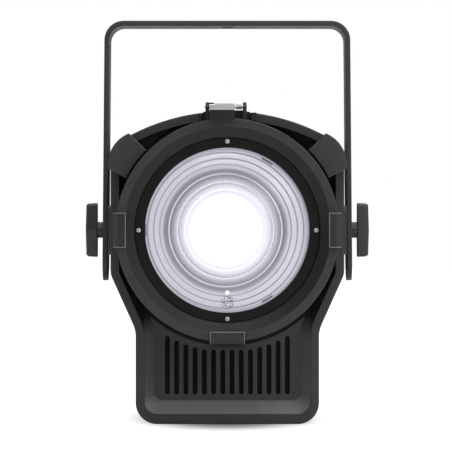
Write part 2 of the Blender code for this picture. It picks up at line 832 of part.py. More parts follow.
# --------------------------------------------------------------------------------- latch
def mount_outline():
    """The latch's seat from the front: round below, to lie on the ring, and stepped above."""
    seat = RING_RADIUS + GAP
    angle = math.degrees(math.acos(MOUNT_HALF_WIDTH / seat))
    outline = arc((0, 0), seat, angle, 180 - angle, 12)
    outline += [
        (-MOUNT_HALF_WIDTH, MOUNT_LEFT_TOP),
        (-0.0235, MOUNT_LEFT_TOP),
        (-0.0225, MOUNT_TOP),
        (0.0205, MOUNT_TOP),
        (0.0210, MOUNT_RIGHT_TOP),
        (MOUNT_HALF_WIDTH, MOUNT_RIGHT_TOP),
    ]
    return outline


def post_outline():
    """A latch post from the side: upright, with a round top about the pin."""
    outline = [(POST_HALF_DEPTH, POST_FOOT), (POST_HALF_DEPTH, 0)]
    outline += arc((0, 0), POST_TOP_RADIUS, 20, 160, 6)
    outline += [(-POST_HALF_DEPTH, 0), (-POST_HALF_DEPTH, POST_FOOT)]
    return outline


def make_latch_bracket():
    bracket = prism("latch_bracket", [mount_outline()], MOUNT_FRONT_Y, MOUNT_BACK_Y)
    for left, right in MOUNT_POCKETS:
        low = (left, MOUNT_FRONT_Y - 0.001, RING_RADIUS - 0.008)
        high = (right, MOUNT_POCKET_BACK_Y, MOUNT_TOP + 0.001)
        cut(bracket, box("mount_pocket", low, high))
    at = (0, LATCH_PIN_Y, LATCH_PIN_Z)
    half = POST_THICKNESS / 2
    for name, x in (("left_post", LEFT_POST_X), ("right_post", RIGHT_POST_X)):
        join(bracket, prism(name, [post_outline()], x - half, x + half, "X", at))
    tab_low = LATCH_PIN_Z + TAB_RISE
    tab = box("post_tab", (LEFT_POST_X - half, LATCH_PIN_Y - TAB_HALF_DEPTH, tab_low),
              (LATCH_LEFT + TAB_REACH, LATCH_PIN_Y + TAB_HALF_DEPTH, tab_low + TAB_THICKNESS))
    pin_hole = cylinder("pin_hole", LATCH_PIN_RADIUS + GAP, -0.025, 0.025, "X", at, sides=16)
    keep(cut(join(bracket, tab), pin_hole), PAINT)
    pin = cylinder("latch_pin", LATCH_PIN_RADIUS, LATCH_PIN_LEFT, LATCH_PIN_RIGHT, "X", at, sides=16)
    keep(pin, STEEL)


def make_latch_spring():
    """A close coil around the pin, beside the latch plate."""
    per_turn = 8
    start = LATCH_RIGHT + SPRING_GAP
    end = RIGHT_POST_X - POST_THICKNESS / 2 - SPRING_GAP
    path = []
    for step in range(SPRING_TURNS * per_turn + 1):
        angle = 2 * math.pi * step / per_turn
        x = start + (end - start) * step / (SPRING_TURNS * per_turn)
        path.append((x, SPRING_RADIUS * math.cos(angle), SPRING_RADIUS * math.sin(angle)))
    keep(wire("latch_spring", path, SPRING_WIRE, (0, LATCH_PIN_Y, LATCH_PIN_Z)), STEEL)


def make_latch_plate():
    """The sprung keeper: a knuckle on the pin, a sloped top and a face over the slot."""
    front = CLIP_FRONT_Y - LATCH_PIN_Y
    top = LATCH_KNUCKLE - 0.0002
    under = LATCH_SKIN + 0.0004
    profile = [
        (0, top),
        (front, -LATCH_FOLD_DROP),
        (front, -LATCH_FOOT_DROP),
        (front + LATCH_SKIN, -LATCH_FOOT_DROP),
        (front + LATCH_SKIN, -LATCH_FOLD_DROP - 0.0004),
        (0, top - under),
    ]
    at = (0, LATCH_PIN_Y, LATCH_PIN_Z)
    plate = prism("latch_plate", [profile], LATCH_LEFT, LATCH_RIGHT, "X", at)
    knuckle = cylinder("latch_knuckle", LATCH_KNUCKLE, LATCH_LEFT, LATCH_RIGHT, "X", at)
    notch = cylinder("tab_notch", LATCH_NOTCH_RADIUS, LATCH_LEFT - 0.001,
                     LATCH_LEFT + LATCH_NOTCH_DEPTH, "X", at)
    bore = cylinder("latch_bore", LATCH_PIN_RADIUS + GAP, -0.02, 0.02, "X", at, sides=16)
    keep(cut(join(plate, knuckle), notch, bore), STEEL)


# ------------------------------------------------------------------------ yoke and clamps
def arm_x(height):
    """The inner face of a yoke arm at a height."""
    return YOKE_INNER_X - YOKE_LEAN * height


def make_yoke():
    inner_top = YOKE_TOP - YOKE_STRAP
    foot = YOKE_FOOT - 0.002
    outer_bend = YOKE_BEND + YOKE_STRAP
    strap = rounded([
        (-arm_x(foot) - YOKE_STRAP, foot, 0),
        (-arm_x(YOKE_TOP) - YOKE_STRAP, YOKE_TOP, outer_bend),
        (arm_x(YOKE_TOP) + YOKE_STRAP, YOKE_TOP, outer_bend),
        (arm_x(foot) + YOKE_STRAP, foot, 0),
        (arm_x(foot), foot, 0),
        (arm_x(inner_top), inner_top, YOKE_BEND),
        (-arm_x(inner_top), inner_top, YOKE_BEND),
        (-arm_x(foot), foot, 0),
    ], steps=6)
    yoke = prism("yoke", [strap], -YOKE_HALF_DEPTH, YOKE_HALF_DEPTH)
    ends = arc((0, YOKE_FOOT + YOKE_HALF_DEPTH), YOKE_HALF_DEPTH + 0.00001, 180, 360, 12)
    side_view = ends + [(0.021, 0.210), (-0.021, 0.210)]
    combine(yoke, prism("yoke_side", [side_view], -0.13, 0.13, "X"), "INTERSECT")
    cut(yoke,
        cylinder("yoke_hole", YOKE_HOLE, YOKE_TOP - 0.01, YOKE_TOP + 0.01, "Z", sides=24),
        cylinder("arm_holes", STUD_HOLE, -0.13, 0.13, "X", sides=16))
    keep(yoke, YOKE_PAINT)


def place_on(side, near, far):
    """Two places along X, on the left or right of the lamp."""
    return side * near, side * far


def make_pivot_block(side, name):
    half_depth = PIVOT_PLATE_DEPTH / 2
    half_height = PIVOT_PLATE_HEIGHT / 2
    full = rectangle(half_depth, half_height, 0.006)
    small = rectangle(half_depth - 0.0015, half_height - 0.0015, 0.0045)
    near, far = place_on(side, SIDE_X + GAP, PIVOT_PLATE_OUT)
    block = loft(name, [(full, near), (full, far - side * 0.0015), (small, far)], "X")
    cut(block, cylinder(name + "_bore", STUD_HOLE, near - side * 0.01, far + side * 0.01, "X"))
    keep(block, PAINT)


def make_friction_washer(side, name):
    near, far = place_on(side, PIVOT_PLATE_OUT + 0.00025, WASHER_FAR_X)
    profile = [(WASHER_RADIUS, near), (WASHER_RADIUS, far), (STUD_HOLE, far), (STUD_HOLE, near)]
    washer = turned(name, profile, "X", steps=24)
    keep(washer, NYLON)


def make_tilt_knob(side, name):
    """A tee handle on a round neck. Its wings taper towards their tips."""
    neck_start, bar_start = place_on(side, YOKE_INNER_X + YOKE_STRAP + GAP, KNOB_NECK_X)
    bar_edge, bar_end = place_on(side, KNOB_OUT_X - KNOB_EDGE, KNOB_OUT_X)
    half = KNOB_HEIGHT / 2
    wing = rounded([
        (-KNOB_DEPTH / 2, 0, 0.006),
        (-KNOB_TIP_DEPTH / 2, half, 0.004),
        (KNOB_TIP_DEPTH / 2, half, 0.004),
        (KNOB_DEPTH / 2, 0, 0.006),
        (KNOB_TIP_DEPTH / 2, -half, 0.004),
        (-KNOB_TIP_DEPTH / 2, -half, 0.004),
    ], steps=4)
    crest = [(y * 0.72, z * 0.93) for y, z in wing]
    knob = loft(name, [(wing, bar_start), (wing, bar_edge), (crest, bar_end)], "X")
    neck_end = bar_start + side * 0.002
    join(knob, cylinder(name + "_neck", KNOB_NECK, neck_start, neck_end, "X", sides=28))
    bore_end = bar_start + side * KNOB_BORE_DEPTH
    bore_start = neck_start - side * 0.001
    cut(knob, cylinder(name + "_bore", STUD_RADIUS + GAP, bore_start, bore_end, "X", sides=20))
    keep(knob, PLASTIC)
    stud_start = side * STUD_START
    stud_end = bore_end - side * GAP
    stud = cylinder(name.replace("knob", "stud"), STUD_RADIUS, stud_start, stud_end, "X", sides=20)
    keep(stud, STEEL)


# -------------------------------------------------------------------- focus drive, engine
def partition_outline(inset):
    """The housing's inner outline, cut off level above the power supply."""
    crown = (0.0, ARCH_CENTRE + ARCH_RADIUS - inset)
    lower = rounded([
        (*arch(inset)[-1], 0),
        (*side_point(inset), SIDE_FILLET - inset),
        (*chin_point(inset), CHIN_FILLET + inset),
        (CHIN_X - inset, PARTITION_FOOT, 0),
    ], closed=False)
    return [crown] + mirrored(arch(inset)[:-1] + lower)


def make_partition(name, y, bore):
    rod = ROD_RADIUS + GAP
    outlines = [
        partition_outline(WALL + 0.0004),
        circle(bore, steps=48),
        circle(rod, (ROD_X, ROD_Z), 12),
        circle(rod, (-ROD_X, ROD_Z), 12),
        circle(SCREW_RADIUS + GAP, (0, SCREW_Z), 16),
    ]
    keep(prism(name, outlines, y, y + PLATE_THICKNESS), PAINT)


def make_guide_rods():
    end = CHASSIS_Y + PLATE_THICKNESS
    for side, name in ((-1, "guide_rod_left"), (1, "guide_rod_right")):
        at = (side * ROD_X, 0, ROD_Z)
        keep(cylinder(name, ROD_RADIUS, BULKHEAD_Y + 0.0005, end, at=at, sides=20), STEEL)


def make_focus_drive():
    at = (0, 0, SCREW_Z)
    screw_start = BULKHEAD_Y + 0.0005
    screw_end = REAR_Y + SCREW_REACH
    keep(cylinder("lead_screw", SCREW_RADIUS, screw_start, screw_end, at=at, sides=24), STEEL)
    knob_start = REAR_Y + 0.0010
    grip_start = knob_start + 0.0060
    knob = turned("focus_knob", [
        (0, FOCUS_KNOB_END),
        (FOCUS_KNOB_RADIUS - 0.0025, FOCUS_KNOB_END),
        (FOCUS_KNOB_RADIUS - 0.0010, FOCUS_KNOB_END - 0.0015),
        (FOCUS_KNOB_RADIUS, grip_start),
        (FOCUS_KNOB_RADIUS + FOCUS_SKIRT, knob_start + 0.0030),
        (FOCUS_KNOB_RADIUS + FOCUS_SKIRT, knob_start),
        (0, knob_start),
    ], at=at, steps=24)
    flutes = []
    reach = FOCUS_KNOB_RADIUS + 0.0018
    for index in range(FLUTE_COUNT):
        angle = 2 * math.pi * index / FLUTE_COUNT
        place = (reach * math.cos(angle), 0, SCREW_Z + reach * math.sin(angle))
        flutes.append(cylinder("knob_flute", FLUTE_RADIUS, grip_start, FOCUS_KNOB_END + 0.002,
                               at=place, sides=6))
    bore = cylinder("knob_bore", SCREW_RADIUS + GAP, knob_start - 0.001, screw_end + GAP, at=at, sides=24)
    keep(cut(knob, bore, *flutes), PLASTIC)


def make_carriage():
    outline = rounded([
        (-0.0850, 0.0860, 0.004),
        (0.0850, 0.0860, 0.004),
        (0.0850, 0.0620, 0.004),
        (0.0620, -0.0700, 0.010),
        (0.0150, -0.1125, 0.005),
        (-0.0150, -0.1125, 0.005),
        (-0.0620, -0.0700, 0.010),
        (-0.0850, 0.0620, 0.004),
    ], steps=3)
    holes = [
        circle(ROD_RADIUS + GAP, (ROD_X, ROD_Z), 16),
        circle(ROD_RADIUS + GAP, (-ROD_X, ROD_Z), 16),
        circle(0.0065, (0, SCREW_Z), 20),
    ]
    back = CARRIAGE_Y + CARRIAGE_THICKNESS
    keep(prism("carriage_plate", [outline] + holes, CARRIAGE_Y, back), ALUMINIUM)
    nut = turned("lead_nut", [
        (0.0060, CARRIAGE_Y),
        (0.0060, back + GAP),
        (0.0110, back + GAP),
        (0.0110, back + 0.0060),
        (0.0070, back + 0.0120),
        (SCREW_RADIUS + GAP, back + 0.0120),
        (SCREW_RADIUS + GAP, CARRIAGE_Y),
    ], at=(0, 0, SCREW_Z), steps=24)
    keep(nut, BRASS)


def make_heat_sink():
    """A comb of upright fins on a base, drawn from above."""
    start = CARRIAGE_Y + CARRIAGE_THICKNESS + GAP
    end = start + SINK_DEPTH
    root = start + SINK_BASE
    pitch = (2 * SINK_HALF_WIDTH - FIN_THICKNESS) / (FIN_COUNT - 1)
    outline = [(SINK_HALF_WIDTH, start), (-SINK_HALF_WIDTH, start)]
    for index in range(FIN_COUNT):
        left = -SINK_HALF_WIDTH + index * pitch
        right = left + FIN_THICKNESS
        if index > 0:
            outline.append((left, root))
        outline += [(left, end), (right, end)]
        if index < FIN_COUNT - 1:
            outline.append((right, root))
    keep(prism("heat_sink", [outline], -SINK_HALF_WIDTH, SINK_HALF_WIDTH, "Z"), ALUMINIUM)
    return end


def make_light_source():
    board_front = CARRIAGE_Y - GAP - 0.0020
    board = box("led_cob", (-0.0150, board_front, -0.0150), (0.0150, CARRIAGE_Y - GAP, 0.0150))
    join(board, cylinder("phosphor_disc", 0.0110, board_front - 0.0008, board_front + 0.0005))
    keep(board, PHOSPHOR)
    holder_back = board_front - GAP
    holder_front = holder_back - 0.0200
    holder = turned("led_holder", [
        (0.0200, holder_back),
        (0.0200, holder_back - 0.0030),
        (0.0375, holder_front + 0.0040),
        (0.0375, holder_front),
        (0.0352, holder_front),
        (0.0352, holder_front + 0.0030),
        (0.0330, holder_front + 0.0030),
        (0.0125, holder_back - 0.0020),
        (0.0125, holder_back),
    ], steps=24)
    keep(holder, PAINT)
    seat = holder_front + 0.0030 - GAP
    dome = [(0, seat - 0.0140)]
    for step in range(1, 5):
        radius = 0.0340 * step / 4
        dome.append((radius, seat - 0.0140 + 0.0110 * (1 - math.sqrt(1 - (radius / 0.0345) ** 2))))
    dome += [(0.0345, seat - 0.0015), (0.0345, seat), (0, seat)]
    keep(turned("condenser_lens", dome, steps=24), GLASS)


def make_fan(start):
    front = start + GAP
    back = front + FAN_DEPTH
    outline = rectangle(FAN_SIZE / 2, FAN_SIZE / 2, 0.008)
    frame = prism("fan_frame", [outline, circle(FAN_BORE, steps=32)], front, back)
    hub_front = back - 0.0050
    join(frame, cylinder("fan_motor_mount", FAN_HUB, hub_front, back, sides=32))
    for index in range(4):
        arm = box("fan_arm", (FAN_HUB - 0.002, hub_front + 0.001, -0.0025),
                  (FAN_BORE + 0.002, back - 0.0005, 0.0025))
        turn = math.radians(45 + 90 * index)
        arm.location = Matrix.Rotation(turn, 3, "Y") @ arm.location
        arm.rotation_euler = (0, turn, 0)
        join(frame, arm)
    keep(frame, PLASTIC)
    rotor_front = front + 0.0020
    rotor_back = hub_front - 0.0010
    middle = (rotor_front + rotor_back) / 2
    pitch = Matrix.Rotation(math.radians(BLADE_PITCH), 4, "X")
    rotor = cylinder("fan_rotor", FAN_HUB, rotor_front, rotor_back, sides=32)
    for index in range(BLADE_COUNT):
        spin = Matrix.Rotation(2 * math.pi * index / BLADE_COUNT, 4, "Y")
        blade = box("fan_blade", (FAN_HUB - 0.002, -0.0008, -0.0120), (FAN_BORE - 0.0025, 0.0008, 0.0120))
        reach = Matrix.Translation((blade.location.x, middle, 0))
        blade.matrix_local = spin @ reach @ pitch
        join(rotor, blade)
    keep(rotor, PLASTIC)


def make_electronics():
    supply = box("power_supply", (-SUPPLY_HALF_WIDTH, SUPPLY_FRONT_Y, SUPPLY_FLOOR),
                 (SUPPLY_HALF_WIDTH, SUPPLY_BACK_Y, SUPPLY_TOP))
    keep(soften(supply, 0.0012), ALUMINIUM)
    board_y = REAR_Y - 0.0200
    board = box("control_board", (-0.0400, board_y, -0.0780), (0.0400, board_y + 0.0016, -0.0340))
    chip = box("processor", (-0.010, board_y - 0.002, -0.062), (0.010, board_y + 0.0005, -0.048))
    keep(join(board, chip), CIRCUIT)


# ---------------------------------------------------------------------------- rear panel
def button_places():
    return [(BUTTON_PITCH * (index - 1.5), BUTTON_Z) for index in range(4)]


def display_outline(margin):
    return rectangle(DISPLAY_HALF_WIDTH + margin, DISPLAY_HALF_HEIGHT + margin, 0.001, (0, DISPLAY_Z))


def make_rear_panel():
    outlines = [panel_outline(0)]
    for _, x in SOCKETS:
        outlines.append(circle(SOCKET_BORE + GAP, (x, SOCKET_Z), 16))
    for place in button_places():
        outlines.append(circle(BUTTON_RADIUS + GAP, place, 12))
    outlines.append(circle(FUSE_RADIUS + GAP, (0, SOCKET_Z), 16))
    outlines.append(circle(SCREW_RADIUS + 0.001, (0, SCREW_Z), 24))
    outlines.append(display_outline(GAP))
    keep(prism("rear_panel", outlines, PANEL_BACK_Y, REAR_Y), PAINT)
    keep(prism("display_window", [display_outline(0)], PANEL_BACK_Y, REAR_Y + 0.0004), GLASS)
    for number, (x, z) in enumerate(button_places(), 1):
        top = REAR_Y + 0.0022
        flange = PANEL_BACK_Y - 0.0006
        button = turned(f"button_{number}", [
            (0, top),
            (BUTTON_RADIUS - 0.0008, top),
            (BUTTON_RADIUS, top - 0.0008),
            (BUTTON_RADIUS, flange),
            (BUTTON_RADIUS + BUTTON_FLANGE, flange),
            (BUTTON_RADIUS + BUTTON_FLANGE, flange - 0.0012),
            (0, flange - 0.0012),
        ], at=(x, 0, z), steps=12)
        keep(button, RUBBER)


def socket_blank(name, x):
    """A square flange outside the panel and a round body inside it."""
    flange_back = REAR_Y + GAP
    outline = rectangle(0.0130, 0.0155, 0.003, (x, SOCKET_Z), steps=2)
    flange = prism(name, [outline], flange_back, flange_back + 0.0020)
    at = (x, 0, SOCKET_Z)
    body = cylinder(name + "_body", SOCKET_BORE, REAR_Y - 0.0210, flange_back + 0.0010, at=at, sides=16)
    return join(flange, body)


def contact_pins(name, x, radius, start, end):
    """Three bars on a circle in a socket."""
    pins = []
    for index in range(3):
        angle = math.radians(120 * index - 90)
        at = (x + CONTACT_REACH * math.cos(angle), 0, SOCKET_Z + CONTACT_REACH * math.sin(angle))
        pins.append(cylinder(name, radius, start, end, at=at, sides=8))
    return pins


def make_sockets():
    mouth = REAR_Y + 0.0100
    floor = REAR_Y - SOCKET_DEPTH
    for name, x in SOCKETS:
        socket = socket_blank(name, x)
        at = (x, 0, SOCKET_Z)
        if name == "dmx_out_socket":
            slot = box("latch_slot", (x - 0.0033, floor, SOCKET_Z + 0.0063),
                       (x + 0.0033, mouth, SOCKET_Z + 0.0109))
            cut(socket, slot, *contact_pins("contact_hole", x, 0.0014, floor, mouth))
        else:
            cut(socket, cylinder("socket_cavity", SOCKET_CAVITY, floor, mouth, at=at, sides=16))
            join(socket, *contact_pins("contact_pin", x, 0.0012, floor - 0.002, REAR_Y - 0.002))
        keep(socket, PLASTIC)
    latch_x = SOCKETS[3][1]
    latch = box("dmx_out_latch", (latch_x - 0.0030, floor + 0.0030, SOCKET_Z + 0.0066),
                (latch_x + 0.0030, REAR_Y + 0.0045, SOCKET_Z + 0.0106))
    keep(soften(latch, 0.0005), STEEL)


def make_fuse():
    at = (0, 0, SOCKET_Z)
    holder = turned("fuse_holder", [
        (0, REAR_Y - 0.0240),
        (FUSE_RADIUS, REAR_Y - 0.0240),
        (FUSE_RADIUS, REAR_Y + GAP),
        (0.0085, REAR_Y + GAP),
        (0.0085, REAR_Y + 0.0018),
        (0.0045, REAR_Y + 0.0018),
        (0.0045, REAR_Y - 0.0200),
        (0, REAR_Y - 0.0200),
    ], at=at, steps=16)
    keep(holder, PLASTIC)
    cap = turned("fuse_cap", [
        (0, REAR_Y + 0.0090),
        (0.0060, REAR_Y + 0.0090),
        (0.0070, REAR_Y + 0.0080),
        (0.0070, REAR_Y + 0.0021),
        (0.0042, REAR_Y + 0.0021),
        (0.0042, REAR_Y - 0.0100),
        (0, REAR_Y - 0.0100),
    ], at=at, steps=16)
    driver = box("fuse_driver_slot", (-0.0050, REAR_Y + 0.0078, SOCKET_Z - 0.0006),
                 (0.0050, REAR_Y + 0.0100, SOCKET_Z + 0.0006))
    keep(cut(cap, driver), PLASTIC)


# ------------------------------------------------------------------------------ assembly
def main():
    make_front_housing()
    make_rear_housing()
    make_safety_eye()
    make_bezel_ring()
    make_lens_retaining_ring()
    make_fresnel_lens()
    make_lens_clips()
    make_accessory_clip("accessory_clip_left", -90)
    make_accessory_clip("accessory_clip_right", 90)
    make_accessory_clip("accessory_clip_bottom", 180)
    make_latch_bracket()
    make_latch_spring()
    make_latch_plate()
    make_yoke()
    for side, word in ((-1, "left"), (1, "right")):
        make_corner_block(side, "corner_block_" + word)
        make_pivot_block(side, "pivot_block_" + word)
        make_friction_washer(side, "friction_washer_" + word)
        make_tilt_knob(side, "tilt_knob_" + word)
    make_partition("bulkhead", BULKHEAD_Y, SPIGOT_RADIUS + 2 * GAP)
    make_partition("rear_chassis", CHASSIS_Y, 0.0620)
    make_guide_rods()
    make_focus_drive()
    make_carriage()
    make_light_source()
    make_fan(make_heat_sink())
    make_electronics()
    make_rear_panel()
    make_sockets()
    make_fuse()


main()
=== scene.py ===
"""Looks of the fresnel spotlight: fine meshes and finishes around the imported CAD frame.

Metres, +Z up. Every new piece is measured from the point where the lens axis, along Y,
meets the yoke's pivot axis, along X, and its object's origin is that point.
"""
import json
import math

import bmesh
import bpy
from mathutils import Matrix, Vector


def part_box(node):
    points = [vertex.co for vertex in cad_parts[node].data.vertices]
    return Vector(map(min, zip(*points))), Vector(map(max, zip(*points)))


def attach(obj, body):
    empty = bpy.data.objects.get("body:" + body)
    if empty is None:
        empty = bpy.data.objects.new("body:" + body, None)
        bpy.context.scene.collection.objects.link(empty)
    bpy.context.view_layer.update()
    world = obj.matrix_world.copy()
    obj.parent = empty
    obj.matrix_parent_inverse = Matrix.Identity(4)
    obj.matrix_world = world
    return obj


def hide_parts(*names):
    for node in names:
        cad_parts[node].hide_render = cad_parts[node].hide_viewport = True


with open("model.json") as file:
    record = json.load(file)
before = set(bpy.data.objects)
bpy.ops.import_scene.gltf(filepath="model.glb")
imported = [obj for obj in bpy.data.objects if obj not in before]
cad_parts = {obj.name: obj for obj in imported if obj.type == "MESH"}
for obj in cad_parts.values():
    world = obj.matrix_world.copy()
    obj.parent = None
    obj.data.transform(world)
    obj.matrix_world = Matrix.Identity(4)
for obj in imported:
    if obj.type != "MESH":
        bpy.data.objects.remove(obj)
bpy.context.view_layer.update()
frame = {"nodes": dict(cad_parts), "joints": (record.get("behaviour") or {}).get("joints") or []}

JOINTS = {joint["name"]: joint for joint in frame["joints"]}
AXIS = Vector(JOINTS["yoke_tilt"]["pos_m"])


def span(node):
    """A CAD node's lowest and highest corners, measured from the lens axis."""
    low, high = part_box(node)
    return low - AXIS, high - AXIS


# ------------------------------------------------------- sizes read from the CAD frame
SHELL_LOW, SHELL_HIGH = span("front_housing")
REAR_LOW, REAR_HIGH = span("rear_housing")
RING_LOW, RING_HIGH = span("bezel_ring")
LENS_LOW, LENS_HIGH = span("fresnel_lens")
KEEPER_LOW, KEEPER_HIGH = span("lens_retaining_ring")
YOKE_LOW, YOKE_HIGH = span("yoke")
PANEL_LOW, PANEL_HIGH = span("rear_panel")
SIDE_X = SHELL_HIGH.x
BASE = SHELL_LOW.z
RIM_Y = SHELL_LOW.y
SPLIT_Y = SHELL_HIGH.y
REAR_Y = PANEL_HIGH.y
RING_RADIUS = RING_HIGH.x
RING_Y = RING_LOW.y
LENS_RADIUS = LENS_HIGH.x
LENS_FRONT_Y = LENS_LOW.y
KEEPER_OUTER = KEEPER_HIGH.x
KEEPER_Y = KEEPER_LOW.y
YOKE_TOP = YOKE_HIGH.z
PIN_Y = JOINTS["latch_lift"]["pos_m"][1]
PIN_Z = JOINTS["latch_lift"]["pos_m"][2] - AXIS.z

# --------------------------------------------------------------- housing outline, front
CHIN_X = 0.0877
SIDE_END = -0.0425
SLOPE_END = -0.0957
ARCH_RADIUS = 0.1989
ARCH_CENTRE = SHELL_HIGH.z - ARCH_RADIUS
SHOULDER = 0.030
SHOULDER_X = SIDE_X - SHOULDER
SHOULDER_Z = ARCH_CENTRE + math.sqrt((ARCH_RADIUS - SHOULDER) ** 2 - SHOULDER_X ** 2)
SHOULDER_START = math.degrees(math.atan2(SHOULDER_Z - ARCH_CENTRE, SHOULDER_X))
SLOPE = math.atan2(SIDE_X - CHIN_X, SIDE_END - SLOPE_END)
SIDE_FILLET = 0.018
CHIN_FILLET = 0.030
BASE_FILLET = 0.0205
WALL = 0.003
EDGE = 0.0011
TAPER_Y = 0.086
REAR_INSET = 0.010

# Chin recess and its slots
RIM_BAND = 0.0084
FOOT_BAND = 0.0094
LIP_Y = -0.075
RECESS_Y = -0.068
PLATE_BACK_Y = -0.065
RECESS_SIDE_INSET = 0.0175
RECESS_BOTTOM = -0.1635
FADE_TOP = -0.040
FADE_HEIGHT = 0.035
CHIN_TOP = -0.062
BARREL_HOLE = 0.1070
SLOT_COUNT = 14
SLOT_PITCH = 0.00886
SLOT_WIDTH = 0.0045
SLOT_BOTTOM = -0.1578
SLOT_TOP_RADIUS = 0.1189
SLOT_TOP_LIMIT = -0.1171

# Cast blocks at the upper corners
CORNER_START = 27.3
CORNER_END = 44.6
CORNER_INNER = 0.1078
CORNER_LEG_OUTER = 0.1148
CORNER_LEG_MARGIN = 1.2
CORNER_OVERHANG = 0.0015
CORNER_FILLET = 0.0018

# Ring, lens and keeper
BAND_RADIUS = 0.0970
FUNNEL_RADIUS = 0.0865
FUNNEL_Y = -0.1315
POCKET_Y = -0.1282
POCKET_RADIUS = 0.0804
FRAME_BACK_Y = RING_Y + 0.012
BARREL_BORE = 0.0980
BARREL_BACK_Y = -0.0600
KEEPER_INNER = 0.0770
SCREW_CIRCLE = 0.0830
SCREW_RADIUS = 0.0021
SINK_RADIUS = 0.0033
SINK_DEPTH = 0.0007
DOME_RISE = 0.0040
ZONE_RADII = (0.0372, 0.0446, 0.0530, 0.0600, 0.0665, 0.0724, 0.0770)
GROOVE = 0.0014
# The lens's painted light: its diffuse share, its glow and its tones by radius.
LENS_DIFFUSE = 0.70
LENS_PAINTED_GLOW = 0.38
PATTERN_SHIFT = 0.022
GLINT_Z = 0.730
LENS_PAINTED_TONES = (
    (0.000, 262), (0.386, 256), (0.422, 242), (0.446, 228), (0.462, 226), (0.472, 262), (0.483, 228),
    (0.516, 212), (0.545, 186), (0.556, 184), (0.565, 246), (0.574, 196), (0.594, 180), (0.622, 150),
    (0.649, 134), (0.661, 226), (0.673, 134), (0.703, 132), (0.724, 160), (0.747, 198), (0.760, 190),
    (0.770, 140), (0.780, 196), (0.829, 200), (0.840, 128), (0.851, 200), (0.902, 196), (0.913, 118),
    (0.924, 194), (0.950, 190), (0.966, 184), (0.985, 110),
)

# Accessory clips and latch
CLIP_FRONT_Y = span("accessory_clip_left")[0].y
CLIP_BACK_Y = span("accessory_clip_left")[1].y
CLIP_HALF_WIDTH = span("accessory_clip_left")[1].z
CLIP_LIP_RADIUS = 0.0944
CLIP_FOLD_RADIUS = 0.1004
CLIP_SLANT_Y = -0.1385
# Width and gain of the painted highlights along the clips' sides and lips.
HIGHLIGHT_WIDTH = 0.0007
HIGHLIGHT_GAIN = 12.0
# How much lighter the chin's chamfers are painted: painted light.
CHAMFER_PAINTED_LIGHT = 6.2
# Radius and tone of the painted shadow under the barrel on the chin plate.
BARREL_SHADOW_RADIUS = 0.1112
BARREL_SHADOW_TONE = 0.10
# How dark the painted shade down the ring's funnel is.
FUNNEL_PAINTED_SHADE = 0.28
SHEET = 0.0015
PIN_RADIUS = 0.0015
KNUCKLE = 0.0032
LATCH_LEFT = span("latch_plate")[0].x
LATCH_RIGHT = span("latch_plate")[1].x
FOLD_DROP = 0.0035
FOOT_DROP = 0.0133
NOTCH_RADIUS = 0.0056
NOTCH_DEPTH = 0.0047
SPRING_TURNS = 5
SPRING_RADIUS = 0.0023
SPRING_WIRE = 0.0004
POST_THICKNESS = 0.0035
POST_HALF_DEPTH = 0.0065
POST_ROUND = 0.0042
POST_DROP = 0.010
LEFT_POST_X = -0.0187
RIGHT_POST_X = 0.0162
TAB_RISE = 0.0026
TAB_THICKNESS = 0.0011
TAB_REACH = 0.0042
TAB_HALF_DEPTH = 0.0035
MOUNT_HALF_WIDTH = 0.0275
MOUNT_TOP = 0.1110
MOUNT_LEFT_STEP = -0.0235
MOUNT_RIGHT_STEP = 0.0205
MOUNT_LEFT_TOP = 0.1085
MOUNT_RIGHT_TOP = 0.1098
MOUNT_POCKETS = ((-0.0245, -0.0207), (0.0072, 0.0143), (0.0185, 0.0228))
MOUNT_POCKET_BACK_Y = -0.1240

# Yoke and clamps
YOKE_INNER_X = 0.1173
YOKE_LEAN = 0.0087
STRAP = 0.0050
YOKE_HALF_DEPTH = YOKE_HIGH.y
YOKE_BEND = 0.0140
YOKE_HOLE = 0.0065
ARM_HOLE = 0.0044
KNOB_NECK = 0.00785
KNOB_NECK_X = 0.1283
KNOB_OUT_X = span("tilt_knob_right")[1].x
KNOB_HALF_HEIGHT = span("tilt_knob_right")[1].z
KNOB_HALF_DEPTH = 0.0090
KNOB_TIP_HALF_DEPTH = 0.0060
KNOB_CREST_ROUND = 0.004
KNOB_CORNER_ROUND = 0.0035
KNOB_BOW = 0.0007

PIVOT_EDGE = 0.0012
PIVOT_CORNER = 0.006

# Rear vents
VENT_ROWS = 9
VENT_HALF_WIDTH = 0.058
VENT_TAPER = 0.0022
VENT_HALF_HEIGHT = 0.0020
VENT_BOTTOM = 0.002
VENT_PITCH = 0.0085
SIDE_VENTS = 4
SIDE_VENT_HALF_WIDTH = 0.0018
SIDE_VENT_HALF_HEIGHT = 0.026
SIDE_VENT_START = 0.010
SIDE_VENT_PITCH = 0.007
SIDE_VENT_Z = 0.020

# Rear fittings
SCREW_Z = -0.1040
SCREW_HOLE = 0.0050
DISPLAY_HALF_HEIGHT = 0.0110
BUTTON_RADIUS = 0.0042
FOCUS_KNOB_RADIUS = 0.0180
FLUTES = 8
FLUTE_DEPTH = 0.085
SOCKET_Z = -0.1500
SOCKET_BORE = 0.0118
WELL_RADIUS = 0.0092
WELL_DEPTH = 0.0140
CONTACT_CIRCLE = 0.0048
FLANGE_HALF_WIDTH = 0.0130
FLANGE_HALF_HEIGHT = 0.0155
FLANGE_SCREW_X = 0.0103
FLANGE_SCREW_Z = 0.0128
GATE_HALF_WIDTH = 0.0033
GATE_HALF_HEIGHT = 0.0023
GATE_RISE = 0.0086
FUSE_RADIUS = 0.0062
FUSE_FLANGE = 0.0085
FUSE_WELL = 0.0045
FUSE_DEPTH = 0.0200
FUSE_CAP = 0.0070
FUSE_STEM = 0.0042
EYE_WIRE = 0.0030
EYE_HALF_WIDTH = 0.0160
EYE_Z = 0.090
